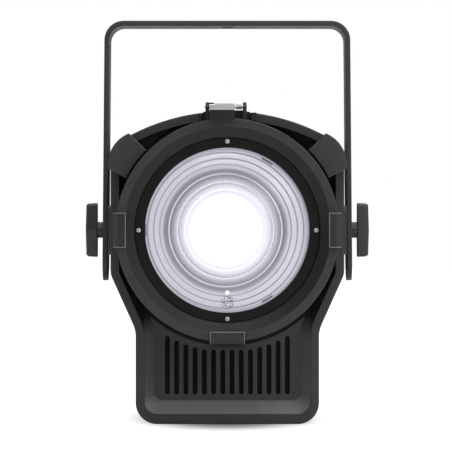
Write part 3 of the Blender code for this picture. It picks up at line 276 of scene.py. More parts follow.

# Studio: softboxes (name, place, target, size, power), camera, and the painted floor shadow's half widths
# and tones
SOFTBOXES = (
    ("top_light", (0.3, 0.1, 2.2), (0, 0, 0.1), 1.6, 28),
    ("front_light", (0, -1.9, 1.9), (0, 0, 0.1), 1.2, 16),
    ("key_light", (1.5, -1.2, 1.3), (0, 0, 0.2), 0.9, 16),
    ("low_light", (0.9, -2.6, 0.95), (0, 0, 0.2), 0.7, 4),
)
CAMERA_PLACE = (-0.0013, -2.3355, 0.1894)
CAMERA_LENS = 188
SHADOW_X = 0.115
SHADOW_Y = 0.200
SHADOW_TONES = ((0.40, 0.0), (0.55, 0.20), (0.70, 0.58), (0.85, 0.86), (1.0, 1.0))

FRAMES = {
    "X": Matrix(((0, 0, 1), (1, 0, 0), (0, 1, 0))),
    "Y": Matrix(((1, 0, 0), (0, 0, -1), (0, 1, 0))),
    "Z": Matrix.Identity(3),
}
AXES = {"X": Vector((1, 0, 0)), "Y": Vector((0, 1, 0)), "Z": Vector((0, 0, 1))}
ALONG = {"X": 1.0, "Y": -1.0, "Z": 1.0}


# ------------------------------------------------------------------------------ outlines
def arc(centre, radius, start, end, steps):
    """Points of an arc from start to end, in degrees, with both ends."""
    points = []
    for step in range(steps + 1):
        angle = math.radians(start + (end - start) * step / steps)
        points.append((centre[0] + radius * math.cos(angle), centre[1] + radius * math.sin(angle)))
    return points


def fillet(before, corner, after, radius, steps):
    """The arc that rounds one corner of an outline."""
    here = Vector(corner)
    towards_before = (Vector(before) - here).normalized()
    towards_after = (Vector(after) - here).normalized()
    half = towards_before.angle(towards_after) / 2
    centre = here + (towards_before + towards_after).normalized() * (radius / math.sin(half))
    first = here + towards_before * (radius / math.tan(half)) - centre
    last = here + towards_after * (radius / math.tan(half)) - centre
    start = math.degrees(math.atan2(first.y, first.x))
    sweep = math.degrees(math.atan2(last.y, last.x)) - start
    sweep = (sweep + 180) % 360 - 180
    return arc(centre, radius, start, start + sweep, steps)


def rounded(corners, steps=6, closed=True):
    """An outline through (x, y, radius) corners, each rounded to its radius."""
    points = []
    last = len(corners) - 1
    for index, (x, y, radius) in enumerate(corners):
        open_end = not closed and index in (0, last)
        if radius == 0 or open_end:
            points.append((x, y))
            continue
        before = corners[index - 1][:2]
        after = corners[(index + 1) % len(corners)][:2]
        points.extend(fillet(before, (x, y), after, radius, steps))
    return points


def rectangle(half_width, half_height, radius=0.0, centre=(0.0, 0.0), steps=6):
    x, y = centre
    return rounded([
        (x - half_width, y - half_height, radius),
        (x - half_width, y + half_height, radius),
        (x + half_width, y + half_height, radius),
        (x + half_width, y - half_height, radius),
    ], steps)


def circle(radius, centre=(0.0, 0.0), steps=64):
    return arc(centre, radius, 0, 360, steps)[:-1]


def mirrored(right_side):
    """Close an outline whose right half runs from top to bottom."""
    return right_side + [(-x, y) for x, y in reversed(right_side)]


def wound(outline, counter_clockwise):
    """The outline, wound one way round."""
    pairs = zip(outline, outline[1:] + outline[:1])
    area = sum(a[0] * b[1] - a[1] * b[0] for a, b in pairs)
    return outline if (area > 0) == counter_clockwise else outline[::-1]


# -------------------------------------------------------------------------------- meshes
def place(name, mesh, axis="Z", at=(0, 0, 0)):
    """A new object whose mesh was drawn in the frame of an axis, from a point on the lamp."""
    mesh.transform(Matrix.Translation(Vector(at)) @ FRAMES[axis].to_4x4())
    obj = bpy.data.objects.new(name, mesh)
    obj.location = AXIS
    bpy.context.scene.collection.objects.link(obj)
    return obj


def closed_mesh(name, work, weld=0.000001):
    bmesh.ops.remove_doubles(work, verts=work.verts, dist=weld)
    bmesh.ops.recalc_face_normals(work, faces=work.faces)
    mesh = bpy.data.meshes.new(name)
    work.to_mesh(mesh)
    work.free()
    return mesh


def curve_mesh(curve):
    """One closed mesh from a curve."""
    guide = bpy.data.objects.new(curve.name, curve)
    bpy.context.scene.collection.objects.link(guide)
    depsgraph = bpy.context.evaluated_depsgraph_get()
    raw = bpy.data.meshes.new_from_object(guide.evaluated_get(depsgraph))
    bpy.data.objects.remove(guide)
    work = bmesh.new()
    work.from_mesh(raw)
    return closed_mesh(curve.name, work)


def prism(name, outlines, start, end, axis="Y", at=(0, 0, 0), edge=0.0, edge_steps=1):
    """Flat outlines extruded along an axis, with rounded edges. Outlines after the first are holes."""
    curve = bpy.data.curves.new(name, "CURVE")
    curve.dimensions = "2D"
    curve.fill_mode = "BOTH"
    curve.extrude = abs(end - start) / 2 - edge
    curve.bevel_depth = edge
    curve.bevel_resolution = edge_steps
    curve.offset = -edge
    for index, outline in enumerate(outlines):
        outline = wound(outline, index == 0)
        spline = curve.splines.new("POLY")
        spline.points.add(len(outline) - 1)
        for point, (x, y) in zip(spline.points, outline):
            point.co = (x, y, 0, 1)
        spline.use_cyclic_u = True
    return place(name, curve_mesh(curve), axis, Vector(at) + AXES[axis] * ((start + end) / 2))


def wire(name, points, radius, at=(0, 0, 0), sides=4):
    """A round wire along a path of points."""
    curve = bpy.data.curves.new(name, "CURVE")
    curve.dimensions = "3D"
    curve.bevel_depth = radius
    curve.bevel_resolution = sides
    curve.use_fill_caps = True
    spline = curve.splines.new("POLY")
    spline.points.add(len(points) - 1)
    for point, spot in zip(spline.points, points):
        point.co = (*spot, 1)
    return place(name, curve_mesh(curve), "Z", at)


def skin(name, rings, closed=False, axis="Z", at=(0, 0, 0)):
    """Quads between matching rings of points. Open ends are capped."""
    work = bmesh.new()
    loops = [[work.verts.new(point) for point in ring] for ring in rings]
    pairs = list(zip(loops, loops[1:]))
    if closed:
        pairs.append((loops[-1], loops[0]))
    for near, far in pairs:
        for index in range(len(near)):
            after = (index + 1) % len(near)
            work.faces.new((near[index], near[after], far[after], far[index]))
    if not closed:
        work.faces.new(loops[0])
        work.faces.new(loops[-1])
    return place(name, closed_mesh(name, work), axis, at)


def turned(name, profile, axis="Y", at=(0, 0, 0), steps=96, reach=None):
    """A profile of (radius, place along the axis) points, turned about the axis.

    A profile whose ends lie on the axis makes a solid; any other makes a ring. reach
    may scale a radius by its angle and its place along the axis.
    """
    work = bmesh.new()
    columns = []
    for step in range(steps):
        angle = 2 * math.pi * step / steps
        column = []
        for radius, along in profile:
            scale = reach(angle, along) if reach and radius > 0 else 1.0
            x = radius * scale * math.cos(angle)
            y = radius * scale * math.sin(angle)
            column.append(work.verts.new((x, y, ALONG[axis] * along)))
        columns.append(column)
    solid = profile[0][0] == 0 and profile[-1][0] == 0
    rows = len(profile) - 1 if solid else len(profile)
    for near, far in zip(columns, columns[1:] + columns[:1]):
        for row in range(rows):
            after = (row + 1) % len(profile)
            work.faces.new((near[row], far[row], far[after], near[after]))
    bmesh.ops.dissolve_degenerate(work, dist=0.0000005, edges=work.edges)
    return place(name, closed_mesh(name, work), axis, at)


def spindle(name, rows, axis="Y", at=(0, 0, 0), steps=48, corner_steps=4, reach=None):
    """A solid turned from (radius, place along the axis, corner radius) rows, closed on its axis."""
    first = (0, rows[0][1], 0)
    last = (0, rows[-1][1], 0)
    profile = rounded([first, *rows, last], corner_steps, closed=False)
    return turned(name, profile, axis, at, steps, reach)


def block(name, low, high, edge=0.0004, segments=2):
    """A box with rounded edges."""
    work = bmesh.new()
    bmesh.ops.create_cube(work, size=1.0)
    size = Vector(high) - Vector(low)
    bmesh.ops.scale(work, vec=size, verts=work.verts)
    bmesh.ops.bevel(work, geom=work.edges[:], offset=edge, segments=segments, affect="EDGES",
                    profile=0.5)
    return place(name, closed_mesh(name, work), "Z", (Vector(high) + Vector(low)) / 2)


def apply_boolean(target, tool, operation):
    modifier = target.modifiers.new("boolean", "BOOLEAN")
    modifier.operation = operation
    modifier.solver = "EXACT"
    modifier.object = tool
    depsgraph = bpy.context.evaluated_depsgraph_get()
    result = bpy.data.meshes.new_from_object(target.evaluated_get(depsgraph))
    target.modifiers.clear()
    target.data = result
    bpy.data.objects.remove(tool)
    return target


def cut(target, *tools):
    for tool in tools:
        apply_boolean(target, tool, "DIFFERENCE")
    return target


def gather(target, *others):
    """Several closed solids as one piece."""
    work = bmesh.new()
    work.from_mesh(target.data)
    for other in others:
        work.from_mesh(other.data)
        bpy.data.objects.remove(other)
    work.to_mesh(target.data)
    work.free()
    return target


def shade(obj, angle=35, bevel=0.0, segments=2):
    """Smooth shading that keeps the corners, after an optional bevel on sharp edges."""
    obj.data.shade_smooth()
    obj.data.set_sharp_from_angle(angle=math.radians(angle))
    if bevel:
        modifier = obj.modifiers.new("edges", "BEVEL")
        modifier.width = bevel
        modifier.segments = segments
        modifier.limit_method = "ANGLE"
        modifier.angle_limit = math.radians(angle)
        modifier.harden_normals = True
    normals = obj.modifiers.new("normals", "WEIGHTED_NORMAL")
    normals.keep_sharp = True
    return obj


def add(obj, material, *nodes, body="lamp_head", angle=35, bevel=0.0):
    """Finish a piece: shading, material, body and the CAD nodes it stands for."""
    shade(obj, angle, bevel)
    obj.data.materials.clear()
    obj.data.materials.append(material)
    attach(obj, body)
    # A CAD material may have the name already, and Blender then ends the new one's in a number.
    if nodes:
        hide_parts(*nodes)
    return obj


# ----------------------------------------------------------------------------- materials
def new_material(name):
    material = bpy.data.materials.new(name)
    material.use_nodes = True
    return material, material.node_tree, material.node_tree.nodes["Principled BSDF"]


def connect(tree, source, target):
    tree.links.new(source, target)


def object_points(tree, scale=(1, 1, 1)):
    coordinates = tree.nodes.new("ShaderNodeTexCoord")
    mapping = tree.nodes.new("ShaderNodeMapping")
    mapping.inputs["Scale"].default_value = scale
    connect(tree, coordinates.outputs["Object"], mapping.inputs["Vector"])
    return mapping.outputs["Vector"]


def noise(tree, scale, detail=2.0, stretch=(1, 1, 1)):
    texture = tree.nodes.new("ShaderNodeTexNoise")
    texture.inputs["Scale"].default_value = scale
    texture.inputs["Detail"].default_value = detail
    connect(tree, object_points(tree, stretch), texture.inputs["Vector"])
    return texture.outputs["Fac"]


def ramp(tree, factor, stops, interpolation="LINEAR"):
    """A colour from a factor. Stops are (place, colour or grey)."""
    made = tree.nodes.new("ShaderNodeValToRGB")
    made.color_ramp.interpolation = interpolation
    elements = made.color_ramp.elements
    while len(elements) < len(stops):
        elements.new(0.5)
    for element, (spot, colour) in zip(elements, stops):
        element.position = spot
        element.color = (*colour, 1) if isinstance(colour, tuple) else (colour, colour, colour, 1)
    connect(tree, factor, made.inputs["Fac"])
    return made.outputs["Color"]


def math_node(tree, operation, *values):
    made = tree.nodes.new("ShaderNodeMath")
    made.operation = operation
    for socket, value in zip(made.inputs, values):
        if isinstance(value, (int, float)):
            socket.default_value = value
        else:
            connect(tree, value, socket)
    return made.outputs["Value"]


def mix_colours(tree, factor, first, second, blend="MIX"):
    made = tree.nodes.new("ShaderNodeMix")
    made.data_type = "RGBA"
    made.blend_type = blend
    for socket, value in zip((made.inputs[0], made.inputs[6], made.inputs[7]), (factor, first, second)):
        if isinstance(value, (int, float)):
            socket.default_value = value
        elif isinstance(value, tuple):
            socket.default_value = (*value, 1)
        else:
            connect(tree, value, socket)
    return made.outputs[2]


def bump(tree, shader, layers):
    """Stack of (height, distance) bumps on the shader's normal."""
    normal = None
    for height, distance in layers:
        made = tree.nodes.new("ShaderNodeBump")
        made.inputs["Strength"].default_value = 1.0
        made.inputs["Distance"].default_value = distance
        connect(tree, height, made.inputs["Height"])
        if normal:
            connect(tree, normal, made.inputs["Normal"])
        normal = made.outputs["Normal"]
    connect(tree, normal, shader.inputs["Normal"])


def scaled(colour, factor):
    return tuple(channel * factor for channel in colour)


def coated(name, colour, roughness, texture=0.00002, variation=0.12, specular=0.5, painted_light_and_shade=None):
    """Powder coat, paint or moulded plastic: a mottled colour with a fine skin.

    An optional factor for the colour, made from the place on the piece, paints light and shade in.
    """
    material, tree, shader = new_material(name)
    broad = noise(tree, 28, 4)
    fine = noise(tree, 900, 2)
    base = ramp(tree, broad, [(0.30, scaled(colour, 1 - variation)), (0.70, scaled(colour, 1 + variation))])
    speckle = ramp(tree, fine, [(0.35, 0.82), (0.65, 1.0)])
    tone = mix_colours(tree, 1.0, base, speckle, "MULTIPLY")
    if painted_light_and_shade:
        tone = mix_colours(tree, 1.0, tone, painted_light_and_shade(tree), "MULTIPLY")
    connect(tree, tone, shader.inputs["Base Color"])
    gloss = ramp(tree, noise(tree, 60, 3), [(0.30, roughness - 0.05), (0.70, roughness + 0.05)])
    connect(tree, gloss, shader.inputs["Roughness"])
    shader.inputs["Specular IOR Level"].default_value = specular
    bump(tree, shader, [(noise(tree, 420, 2), texture * 2), (fine, texture)])
    return material


def metal(name, colour, roughness, brushing=(1, 1, 1), texture=0.00001):
    """Bare metal with a grain that runs along its brushing."""
    material, tree, shader = new_material(name)
    shader.inputs["Metallic"].default_value = 1.0
    grain = noise(tree, 300, 4, brushing)
    broad = noise(tree, 45, 3)
    tone = ramp(tree, grain, [(0.30, scaled(colour, 0.84)), (0.70, colour)])
    stain = ramp(tree, broad, [(0.35, 0.90), (0.65, 1.0)])
    connect(tree, mix_colours(tree, 1.0, tone, stain, "MULTIPLY"), shader.inputs["Base Color"])
    gloss = ramp(tree, grain, [(0.30, roughness + 0.08), (0.70, roughness - 0.04)])
    connect(tree, gloss, shader.inputs["Roughness"])
    bump(tree, shader, [(grain, texture)])
    return material


def place_on_piece(tree):
    """The x, y and z of a point, measured from the lens axis."""
    coordinates = tree.nodes.new("ShaderNodeTexCoord")
    parts = tree.nodes.new("ShaderNodeSeparateXYZ")
    connect(tree, coordinates.outputs["Object"], parts.inputs["Vector"])
    return parts.outputs["X"], parts.outputs["Y"], parts.outputs["Z"]


def where_all(tree, *tests):
    """1 where every (value, "LESS_THAN" or "GREATER_THAN", limit) test holds, and 0 elsewhere."""
    result = 1.0
    for value, operation, limit in tests:
        result = math_node(tree, "MULTIPLY", math_node(tree, operation, value, limit), result)
    return result


def blend(tree, mask, outside, inside):
    """A number that is one value outside a mask and another inside it."""
    return math_node(tree, "MULTIPLY_ADD", mask, inside - outside, outside)


def chamfer_painted_light(tree):
    """The chamfers round the chin's recess, painted lighter with painted light, most along the bottom."""
    x, y, z = place_on_piece(tree)
    inside = where_all(
        tree,
        (math_node(tree, "ABSOLUTE", x), "LESS_THAN", CHIN_X - RIM_BAND + 0.0002),
        (y, "GREATER_THAN", RIM_Y + 0.0008),
        (z, "GREATER_THAN", BASE + FOOT_BAND - 0.0002),
    )
    below = math_node(tree, "MULTIPLY_ADD", z, -1 / (CHIN_TOP - BASE), CHIN_TOP / (CHIN_TOP - BASE))
    lightening = ramp(tree, below, [(0.10, 0.0), (0.30, 0.50), (0.78, 0.55), (0.84, 1.0)])
    return math_node(tree, "MULTIPLY_ADD", math_node(tree, "MULTIPLY", lightening, inside), CHAMFER_PAINTED_LIGHT, 1.0)


def barrel_painted_shadow(tree):
    """The chin plate, with a painted shadow: black where the barrel and its lowest clip stand over it."""
    x, _, z = place_on_piece(tree)
    near_barrel = math_node(tree, "LESS_THAN", distance_node(tree, x, z), BARREL_SHADOW_RADIUS)
    near_clip = where_all(
        tree,
        (math_node(tree, "ABSOLUTE", x), "LESS_THAN", CLIP_HALF_WIDTH + 0.0014),
        (z, "GREATER_THAN", -BARREL_SHADOW_RADIUS - 0.0030),
    )
    return blend(tree, math_node(tree, "MAXIMUM", near_barrel, near_clip), 1.0, BARREL_SHADOW_TONE)


def funnel_painted_shade(tree):
    """The ring, with painted shade: darker down its funnel and black at the step to the keeper."""
    x, _, z = place_on_piece(tree)
    radius = distance_node(tree, x, z)
    share = math_node(tree, "DIVIDE", radius, RING_RADIUS)
    step = FUNNEL_RADIUS / RING_RADIUS
    band = BAND_RADIUS / RING_RADIUS
    stops = [(step + 0.006, 0.02), (step + 0.012, FUNNEL_PAINTED_SHADE), (band - 0.010, FUNNEL_PAINTED_SHADE), (band, 1.0)]
    return ramp(tree, share, stops)


def painted_edge_highlights(along):
    """A clip's painted highlights: its sides and its lip are painted bright. along is its crosswise axis.
    """
    def painted_light_and_shade(tree):
        x, _, z = place_on_piece(tree)
        across = math_node(tree, "ABSOLUTE", x if along == "X" else z)
        side = math_node(tree, "GREATER_THAN", across, CLIP_HALF_WIDTH - HIGHLIGHT_WIDTH)
        lip = math_node(tree, "LESS_THAN", math_node(tree, "ABSOLUTE", z if along == "X" else x),
                        CLIP_LIP_RADIUS + HIGHLIGHT_WIDTH)
        return blend(tree, math_node(tree, "MAXIMUM", side, lip), 1.0, HIGHLIGHT_GAIN)
    return painted_light_and_shade


def lens_material():
    """Pressed glass whose light is painted in: a glowing bright centre, then painted rings of light and
    reflection towards the edge.
    """
    material, tree, shader = new_material("lens_glass")
    right, _, up = place_on_piece(tree)
    x = math_node(tree, "DIVIDE", right, LENS_RADIUS)
    z = math_node(tree, "DIVIDE", up, LENS_RADIUS)
    share = distance_node(tree, math_node(tree, "ADD", x, PATTERN_SHIFT), z)
    angle = math_node(tree, "ARCTAN2", z, x)
    stops = []
    for spot, grey in LENS_PAINTED_TONES:
        linear = (grey / 255) ** 2.2
        stops.append((spot, (linear * 0.975, linear * 0.975, linear * 1.10)))
    tone = ramp(tree, share, stops)
    tone = mix_colours(tree, 1.0, tone, lens_hatching(tree, share, angle), "MULTIPLY")
    tone = mix_colours(tree, lens_clip_marks(tree, share, angle), tone, (0.06, 0.06, 0.07))
    tone = mix_colours(tree, lens_ticks(tree, x, z), tone, (0.08, 0.08, 0.09))
    # A painted highlight, the glint, below the centre of the glass.
    glint = distance_node(tree, x, math_node(tree, "ADD", z, GLINT_Z))
    tone = mix_colours(tree, ramp(tree, glint, [(0.012, 1.0), (0.028, 0.0)]), tone, (1.6, 1.6, 1.7))
    base = mix_colours(tree, 1.0, tone, (LENS_DIFFUSE, LENS_DIFFUSE, LENS_DIFFUSE), "MULTIPLY")
    connect(tree, base, shader.inputs["Base Color"])
    connect(tree, tone, shader.inputs["Emission Color"])
    shader.inputs["Emission Strength"].default_value = LENS_PAINTED_GLOW
    shader.inputs["Roughness"].default_value = 0.14
    return material


def distance_node(tree, x, z):
    squares = [math_node(tree, "MULTIPLY", value, value) for value in (x, z)]
    return math_node(tree, "SQRT", math_node(tree, "ADD", *squares))


def noise_at(tree, x, y, scale):
    """Noise over a made pair of coordinates."""
    point = tree.nodes.new("ShaderNodeCombineXYZ")
    connect(tree, x, point.inputs["X"])
    connect(tree, y, point.inputs["Y"])
    texture = tree.nodes.new("ShaderNodeTexNoise")
    texture.inputs["Scale"].default_value = scale
    texture.inputs["Detail"].default_value = 2.0
    connect(tree, point.outputs["Vector"], texture.inputs["Vector"])
    return texture.outputs["Fac"]


def lens_hatching(tree, share, angle):
    """A fine radial hatch on the ring of the glass nearest the bright centre."""
    round_the_axis = math_node(tree, "MULTIPLY", angle, 26.0)
    outwards = math_node(tree, "MULTIPLY", share, 60.0)
    strokes = ramp(tree, noise_at(tree, round_the_axis, outwards, 1.6), [(0.36, 0.74), (0.64, 1.22)])
    band = ramp(tree, share, [(0.50, 0.0), (0.55, 1.0), (0.65, 1.0), (0.68, 0.18)])
    return mix_colours(tree, band, (1.0, 1.0, 1.0), strokes)


def lens_ticks(tree, x, z):
    """Painted dark broken reflections just below the painted glint."""
    away = distance_node(tree, x, math_node(tree, "ADD", z, GLINT_Z + 0.11))
    marks = ramp(tree, noise_at(tree, x, z, 42.0), [(0.50, 0.0), (0.54, 1.0)])
    return mix_colours(tree, 1.0, marks, ramp(tree, away, [(0.055, 1.0), (0.095, 0.0)]), "MULTIPLY")


def lens_clip_marks(tree, share, angle):
    """Where the three clips behind the glass show dark near its edge."""
    turned_angle = math_node(tree, "SUBTRACT", math_node(tree, "MULTIPLY", angle, 3.0), math.pi)
    peak = math_node(tree, "MULTIPLY_ADD", math_node(tree, "COSINE", turned_angle), 0.5, 0.5)
    near = ramp(tree, peak, [(0.984, 0.0), (0.989, 1.0)])
    rim = ramp(tree, share, [(0.925, 0.0), (0.932, 0.8), (0.950, 0.8), (0.957, 0.0)])
    return mix_colours(tree, 1.0, near, rim, "MULTIPLY")


HOUSING_BLACK = (0.020, 0.020, 0.0215)
CHIN_BLACK = (0.020, 0.020, 0.0206)
CLIP_BLACK = (0.013, 0.013, 0.0138)
HOUSING_PAINT = coated("housing_paint", HOUSING_BLACK, 0.50)
# The shell's chin chamfers get painted light from their place on the piece.
SHELL_PAINT = coated("shell_paint", CHIN_BLACK, 0.50, painted_light_and_shade=chamfer_painted_light)
# The chin plate gets a painted shadow under the barrel and its lowest clip.
CHIN_PAINT = coated("chin_paint", HOUSING_BLACK, 0.50, painted_light_and_shade=barrel_painted_shadow)
# The ring gets painted shade down its funnel and at the step to the keeper.
RING_PAINT = coated("ring_paint", (0.034, 0.034, 0.0355), 0.42, specular=0.25, painted_light_and_shade=funnel_painted_shade)
# Black for the sheets that stand in for shade: painted shade.
PAINTED_SHADE_BLACK = coated("dark_lining", (0.005, 0.005, 0.0055), 0.80, specular=0.2)
YOKE_PAINT = coated("yoke_paint", (0.025, 0.0255, 0.0265), 0.48, specular=0.4)
SHEET_PAINT = coated("sheet_paint", (0.018, 0.018, 0.019), 0.40)
# The clips get painted highlights along their sides and lips.
SIDE_CLIP_PAINT = coated("side_clip_paint", CLIP_BLACK, 0.40, specular=0.4, painted_light_and_shade=painted_edge_highlights("Z"))
LOW_CLIP_PAINT = coated("low_clip_paint", CLIP_BLACK, 0.40, specular=0.4, painted_light_and_shade=painted_edge_highlights("X"))
LATCH_PAINT = coated("latch_paint", (0.009, 0.009, 0.0096), 0.52, specular=0.25)
LATCH_STEEL = coated("latch_steel", (0.25, 0.25, 0.256), 0.34, variation=0.10)
KEEPER_PAINT = coated("keeper_paint", (0.004, 0.004, 0.0044), 0.45, specular=0.16)
KNOB_PLASTIC = coated("knob_plastic", (0.017, 0.017, 0.018), 0.42, 0.00001)
BLACK_PLASTIC = coated("black_plastic", (0.014, 0.014, 0.015), 0.38, 0.00001)
NYLON = coated("nylon", (0.10, 0.10, 0.10), 0.60)
RUBBER = coated("button_rubber", (0.03, 0.03, 0.031), 0.70, 0.00001)
CIRCUIT = coated("circuit_board", (0.010, 0.070, 0.030), 0.45)
MODULE_CASE = coated("module_case", (0.012, 0.012, 0.013), 0.55)
ZINC_STEEL = metal("zinc_steel", (0.55, 0.55, 0.57), 0.32)
ZINC_PLATE = coated("zinc_plate", (0.46, 0.46, 0.47), 0.30, variation=0.05)
ALUMINIUM = metal("bare_aluminium", (0.66, 0.66, 0.68), 0.36, (1, 30, 1))
BRASS = metal("brass", (0.62, 0.44, 0.18), 0.32)
PHOSPHOR = coated("led_phosphor", (0.80, 0.62, 0.12), 0.50)
DISPLAY_GLASS = coated("display_glass", (0.006, 0.008, 0.010), 0.10, 0.000001)
LENS_GLASS = lens_material()


# ------------------------------------------------------------------------------- housing
def side_point(inset):
    return SIDE_X - inset, SIDE_END + inset * math.tan(SLOPE / 2)


def chin_point(inset):
    return CHIN_X - inset, SLOPE_END + inset * math.tan(SLOPE / 2)


def housing_outline(inset, bottom=None, corner=None):
    """The housing seen from the front, moved in by an inset. The foot may stand higher."""
    bottom = BASE + inset if bottom is None else bottom
    corner = BASE_FILLET - inset if corner is None else corner
    arch = arc((0, ARCH_CENTRE), ARCH_RADIUS - inset, 90, SHOULDER_START, 28)
    shoulder = arc((SHOULDER_X, SHOULDER_Z), SHOULDER - inset, SHOULDER_START, 0, 14)
    lower = rounded([
        (*shoulder[-1], 0),
        (*side_point(inset), max(SIDE_FILLET - inset, 0.001)),
        (*chin_point(inset), CHIN_FILLET + inset),
        (CHIN_X - inset, bottom, corner),
        (0, bottom, 0),
    ], 12, closed=False)
    right = arch[1:] + shoulder[1:-1] + lower[:-1]
    return [arch[0]] + mirrored(right)


def rim_outline(inset):
    """The rim's inner edge, whose band is wider along the foot."""
    return housing_outline(inset, BASE + FOOT_BAND - RIM_BAND + inset, BASE_FILLET - inset)


def at_depth(outline, y):
    return [(x, y, z) for x, z in outline]


def rounding(inset, y, radius, turn, steps=4):
    """(inset, y) steps round an outer edge: turn is 1 towards the front and -1 towards the back."""
    stages = []
    for step in range(steps + 1):
        angle = math.pi / 2 * step / steps
        stages.append((inset + radius * (1 - math.cos(angle)), y + turn * radius * (1 - math.sin(angle))))
    return stages


def faded(band, chin):
    """The rim's inner edge above, easing into the chin's chamfer below."""
    points = []
    for (band_x, band_z), (chin_x, chin_z) in zip(band, chin):
        share = min(max((FADE_TOP - band_z) / FADE_HEIGHT, 0), 1)
        share = share * share * (3 - 2 * share)
        x = band_x + (chin_x - band_x) * share
        z = band_z + (chin_z - band_z) * share
        points.append((x, LIP_Y + (RECESS_Y - LIP_Y) * share, z))
    return points


def make_front_shell():
    stages = [(0.0005, SPLIT_Y), (0.0, SPLIT_Y - 0.0005)]
    stages += rounding(0.0, RIM_Y, EDGE, 1)
    rings = [at_depth(housing_outline(inset), y) for inset, y in stages]
    lip = 0.0005
    rings.append(at_depth(rim_outline(RIM_BAND - lip), RIM_Y))
    rings.append(at_depth(rim_outline(RIM_BAND - lip * 0.3), RIM_Y + lip * 0.3))
    rings.append(at_depth(rim_outline(RIM_BAND), RIM_Y + lip))
    chin = housing_outline(RECESS_SIDE_INSET, RECESS_BOTTOM, 0.008)
    inner = faded(rim_outline(RIM_BAND), chin)
    rings.append(inner)
    rings.append([(x, y + 0.003, z) for x, y, z in inner])
    rings.append(at_depth(housing_outline(WALL), PLATE_BACK_Y + 0.002))
    rings.append(at_depth(housing_outline(WALL), SPLIT_Y))
    add(skin("front_shell", rings, closed=True), SHELL_PAINT, "front_housing")


def slot_outlines():
    """Upright slots whose tops follow a circle about the lens axis."""
    outlines = []
    half = SLOT_WIDTH / 2
    for index in range(SLOT_COUNT):
        x = (index - (SLOT_COUNT - 1) / 2) * SLOT_PITCH
        top = max(-math.sqrt(SLOT_TOP_RADIUS ** 2 - x ** 2), SLOT_TOP_LIMIT) + half
        height = (top - SLOT_BOTTOM) / 2
        outlines.append(rectangle(half, height, half * 0.98, (x, (top + SLOT_BOTTOM) / 2)))
    return outlines


def make_chin_panel():
    """The slotted plate at the back of the chin recess, cut round above for the barrel."""
    reach = 0.002
    half_angle = math.degrees(math.asin(-CHIN_TOP / BARREL_HOLE))
    bow = arc((0, 0), BARREL_HOLE, -180 + half_angle, -half_angle, 48)
    right = rounded([
        (CHIN_X - RECESS_SIDE_INSET + 0.012, CHIN_TOP, 0),
        (*chin_point(RECESS_SIDE_INSET - reach), CHIN_FILLET),
        (CHIN_X - RECESS_SIDE_INSET + reach, RECESS_BOTTOM - reach, 0.010),
        (0, RECESS_BOTTOM - reach, 0),
    ], 10, closed=False)[:-1]
    left = [(-x, z) for x, z in reversed(right)]
    outline = bow + right + left
    panel = prism("chin_panel", [outline] + slot_outlines(), RECESS_Y, PLATE_BACK_Y, edge=0.0004)
    add(panel, CHIN_PAINT)


def make_shade_sheets():
    """Painted shade: a black sheet behind the slots, and a black ring round the barrel's hole, where shade
    falls.
    """
    half = SLOT_PITCH * SLOT_COUNT / 2
    angle = math.degrees(math.acos(half / BARREL_HOLE))
    bow = arc((0, 0), BARREL_HOLE + 0.0005, angle - 180, -angle, 32)
    outline = bow + [(half, SLOT_BOTTOM - 0.002), (-half, SLOT_BOTTOM - 0.002)]
    slot_sheet = prism("slot_gauze", [outline], PLATE_BACK_Y + 0.0002, PLATE_BACK_Y + 0.0008)
    add(slot_sheet, PAINTED_SHADE_BLACK)
    front = RECESS_Y - 0.0004
    back = RECESS_Y + 0.0006
    profile = [(BARREL_HOLE, front), (BARREL_SHADOW_RADIUS, front), (BARREL_SHADOW_RADIUS, back), (BARREL_HOLE, back)]
    add(turned("barrel_seal", profile, steps=128), PAINTED_SHADE_BLACK)


def panel_outline(inset):
    middle = (PANEL_LOW.z + PANEL_HIGH.z) / 2
    half = (PANEL_HIGH.z - PANEL_LOW.z) / 2
    return rectangle(PANEL_HIGH.x - inset, half - inset, 0.004, (0, middle))


def make_rear_shell():
    stages = [(0.0005, REAR_LOW.y), (0.0, REAR_LOW.y + 0.0005), (0.0, TAPER_Y - 0.001)]
    stages += [(0.0003, TAPER_Y + 0.0005), (0.0010, TAPER_Y + 0.002)]
    slant = REAR_INSET / (REAR_Y - TAPER_Y)
    stages += [(REAR_INSET - 2 * slant * EDGE, REAR_Y - 2 * EDGE)]
    stages += rounding(REAR_INSET - slant * EDGE, REAR_Y, EDGE, -1)[1:]
    shell = skin("rear_shell", [at_depth(housing_outline(inset), y) for inset, y in stages])
    hollow = [(WALL, REAR_LOW.y - 0.01), (WALL, TAPER_Y - 0.001), (WALL + REAR_INSET, REAR_Y - WALL)]
    cut(shell, skin("inside", [at_depth(housing_outline(inset), y) for inset, y in hollow]))
    cut(shell, prism("panel_opening", [panel_outline(-0.0003)], TAPER_Y, REAR_Y + 0.01))
    for row in range(VENT_ROWS):
        half = VENT_HALF_WIDTH - VENT_TAPER * row
        slot = rectangle(half, VENT_HALF_HEIGHT, 0.0019, (0, VENT_BOTTOM + row * VENT_PITCH))
        cut(shell, prism("rear_vent", [slot], TAPER_Y, REAR_Y + 0.01))
    for index in range(SIDE_VENTS):
        spot = (SPLIT_Y + SIDE_VENT_START + index * SIDE_VENT_PITCH, SIDE_VENT_Z)
        slot = rectangle(SIDE_VENT_HALF_WIDTH, SIDE_VENT_HALF_HEIGHT, 0.0017, spot)
        cut(shell, prism("side_vent", [slot], -SIDE_X - 0.01, SIDE_X + 0.01, "X"))
    for side in (-1, 1):
        hole = circle(EYE_WIRE + 0.0003, (side * EYE_HALF_WIDTH, EYE_Z), 32)
        cut(shell, prism("eye_hole", [hole], TAPER_Y, REAR_Y + 0.01))
    add(shell, HOUSING_PAINT, "rear_housing", bevel=0.0004, angle=40)


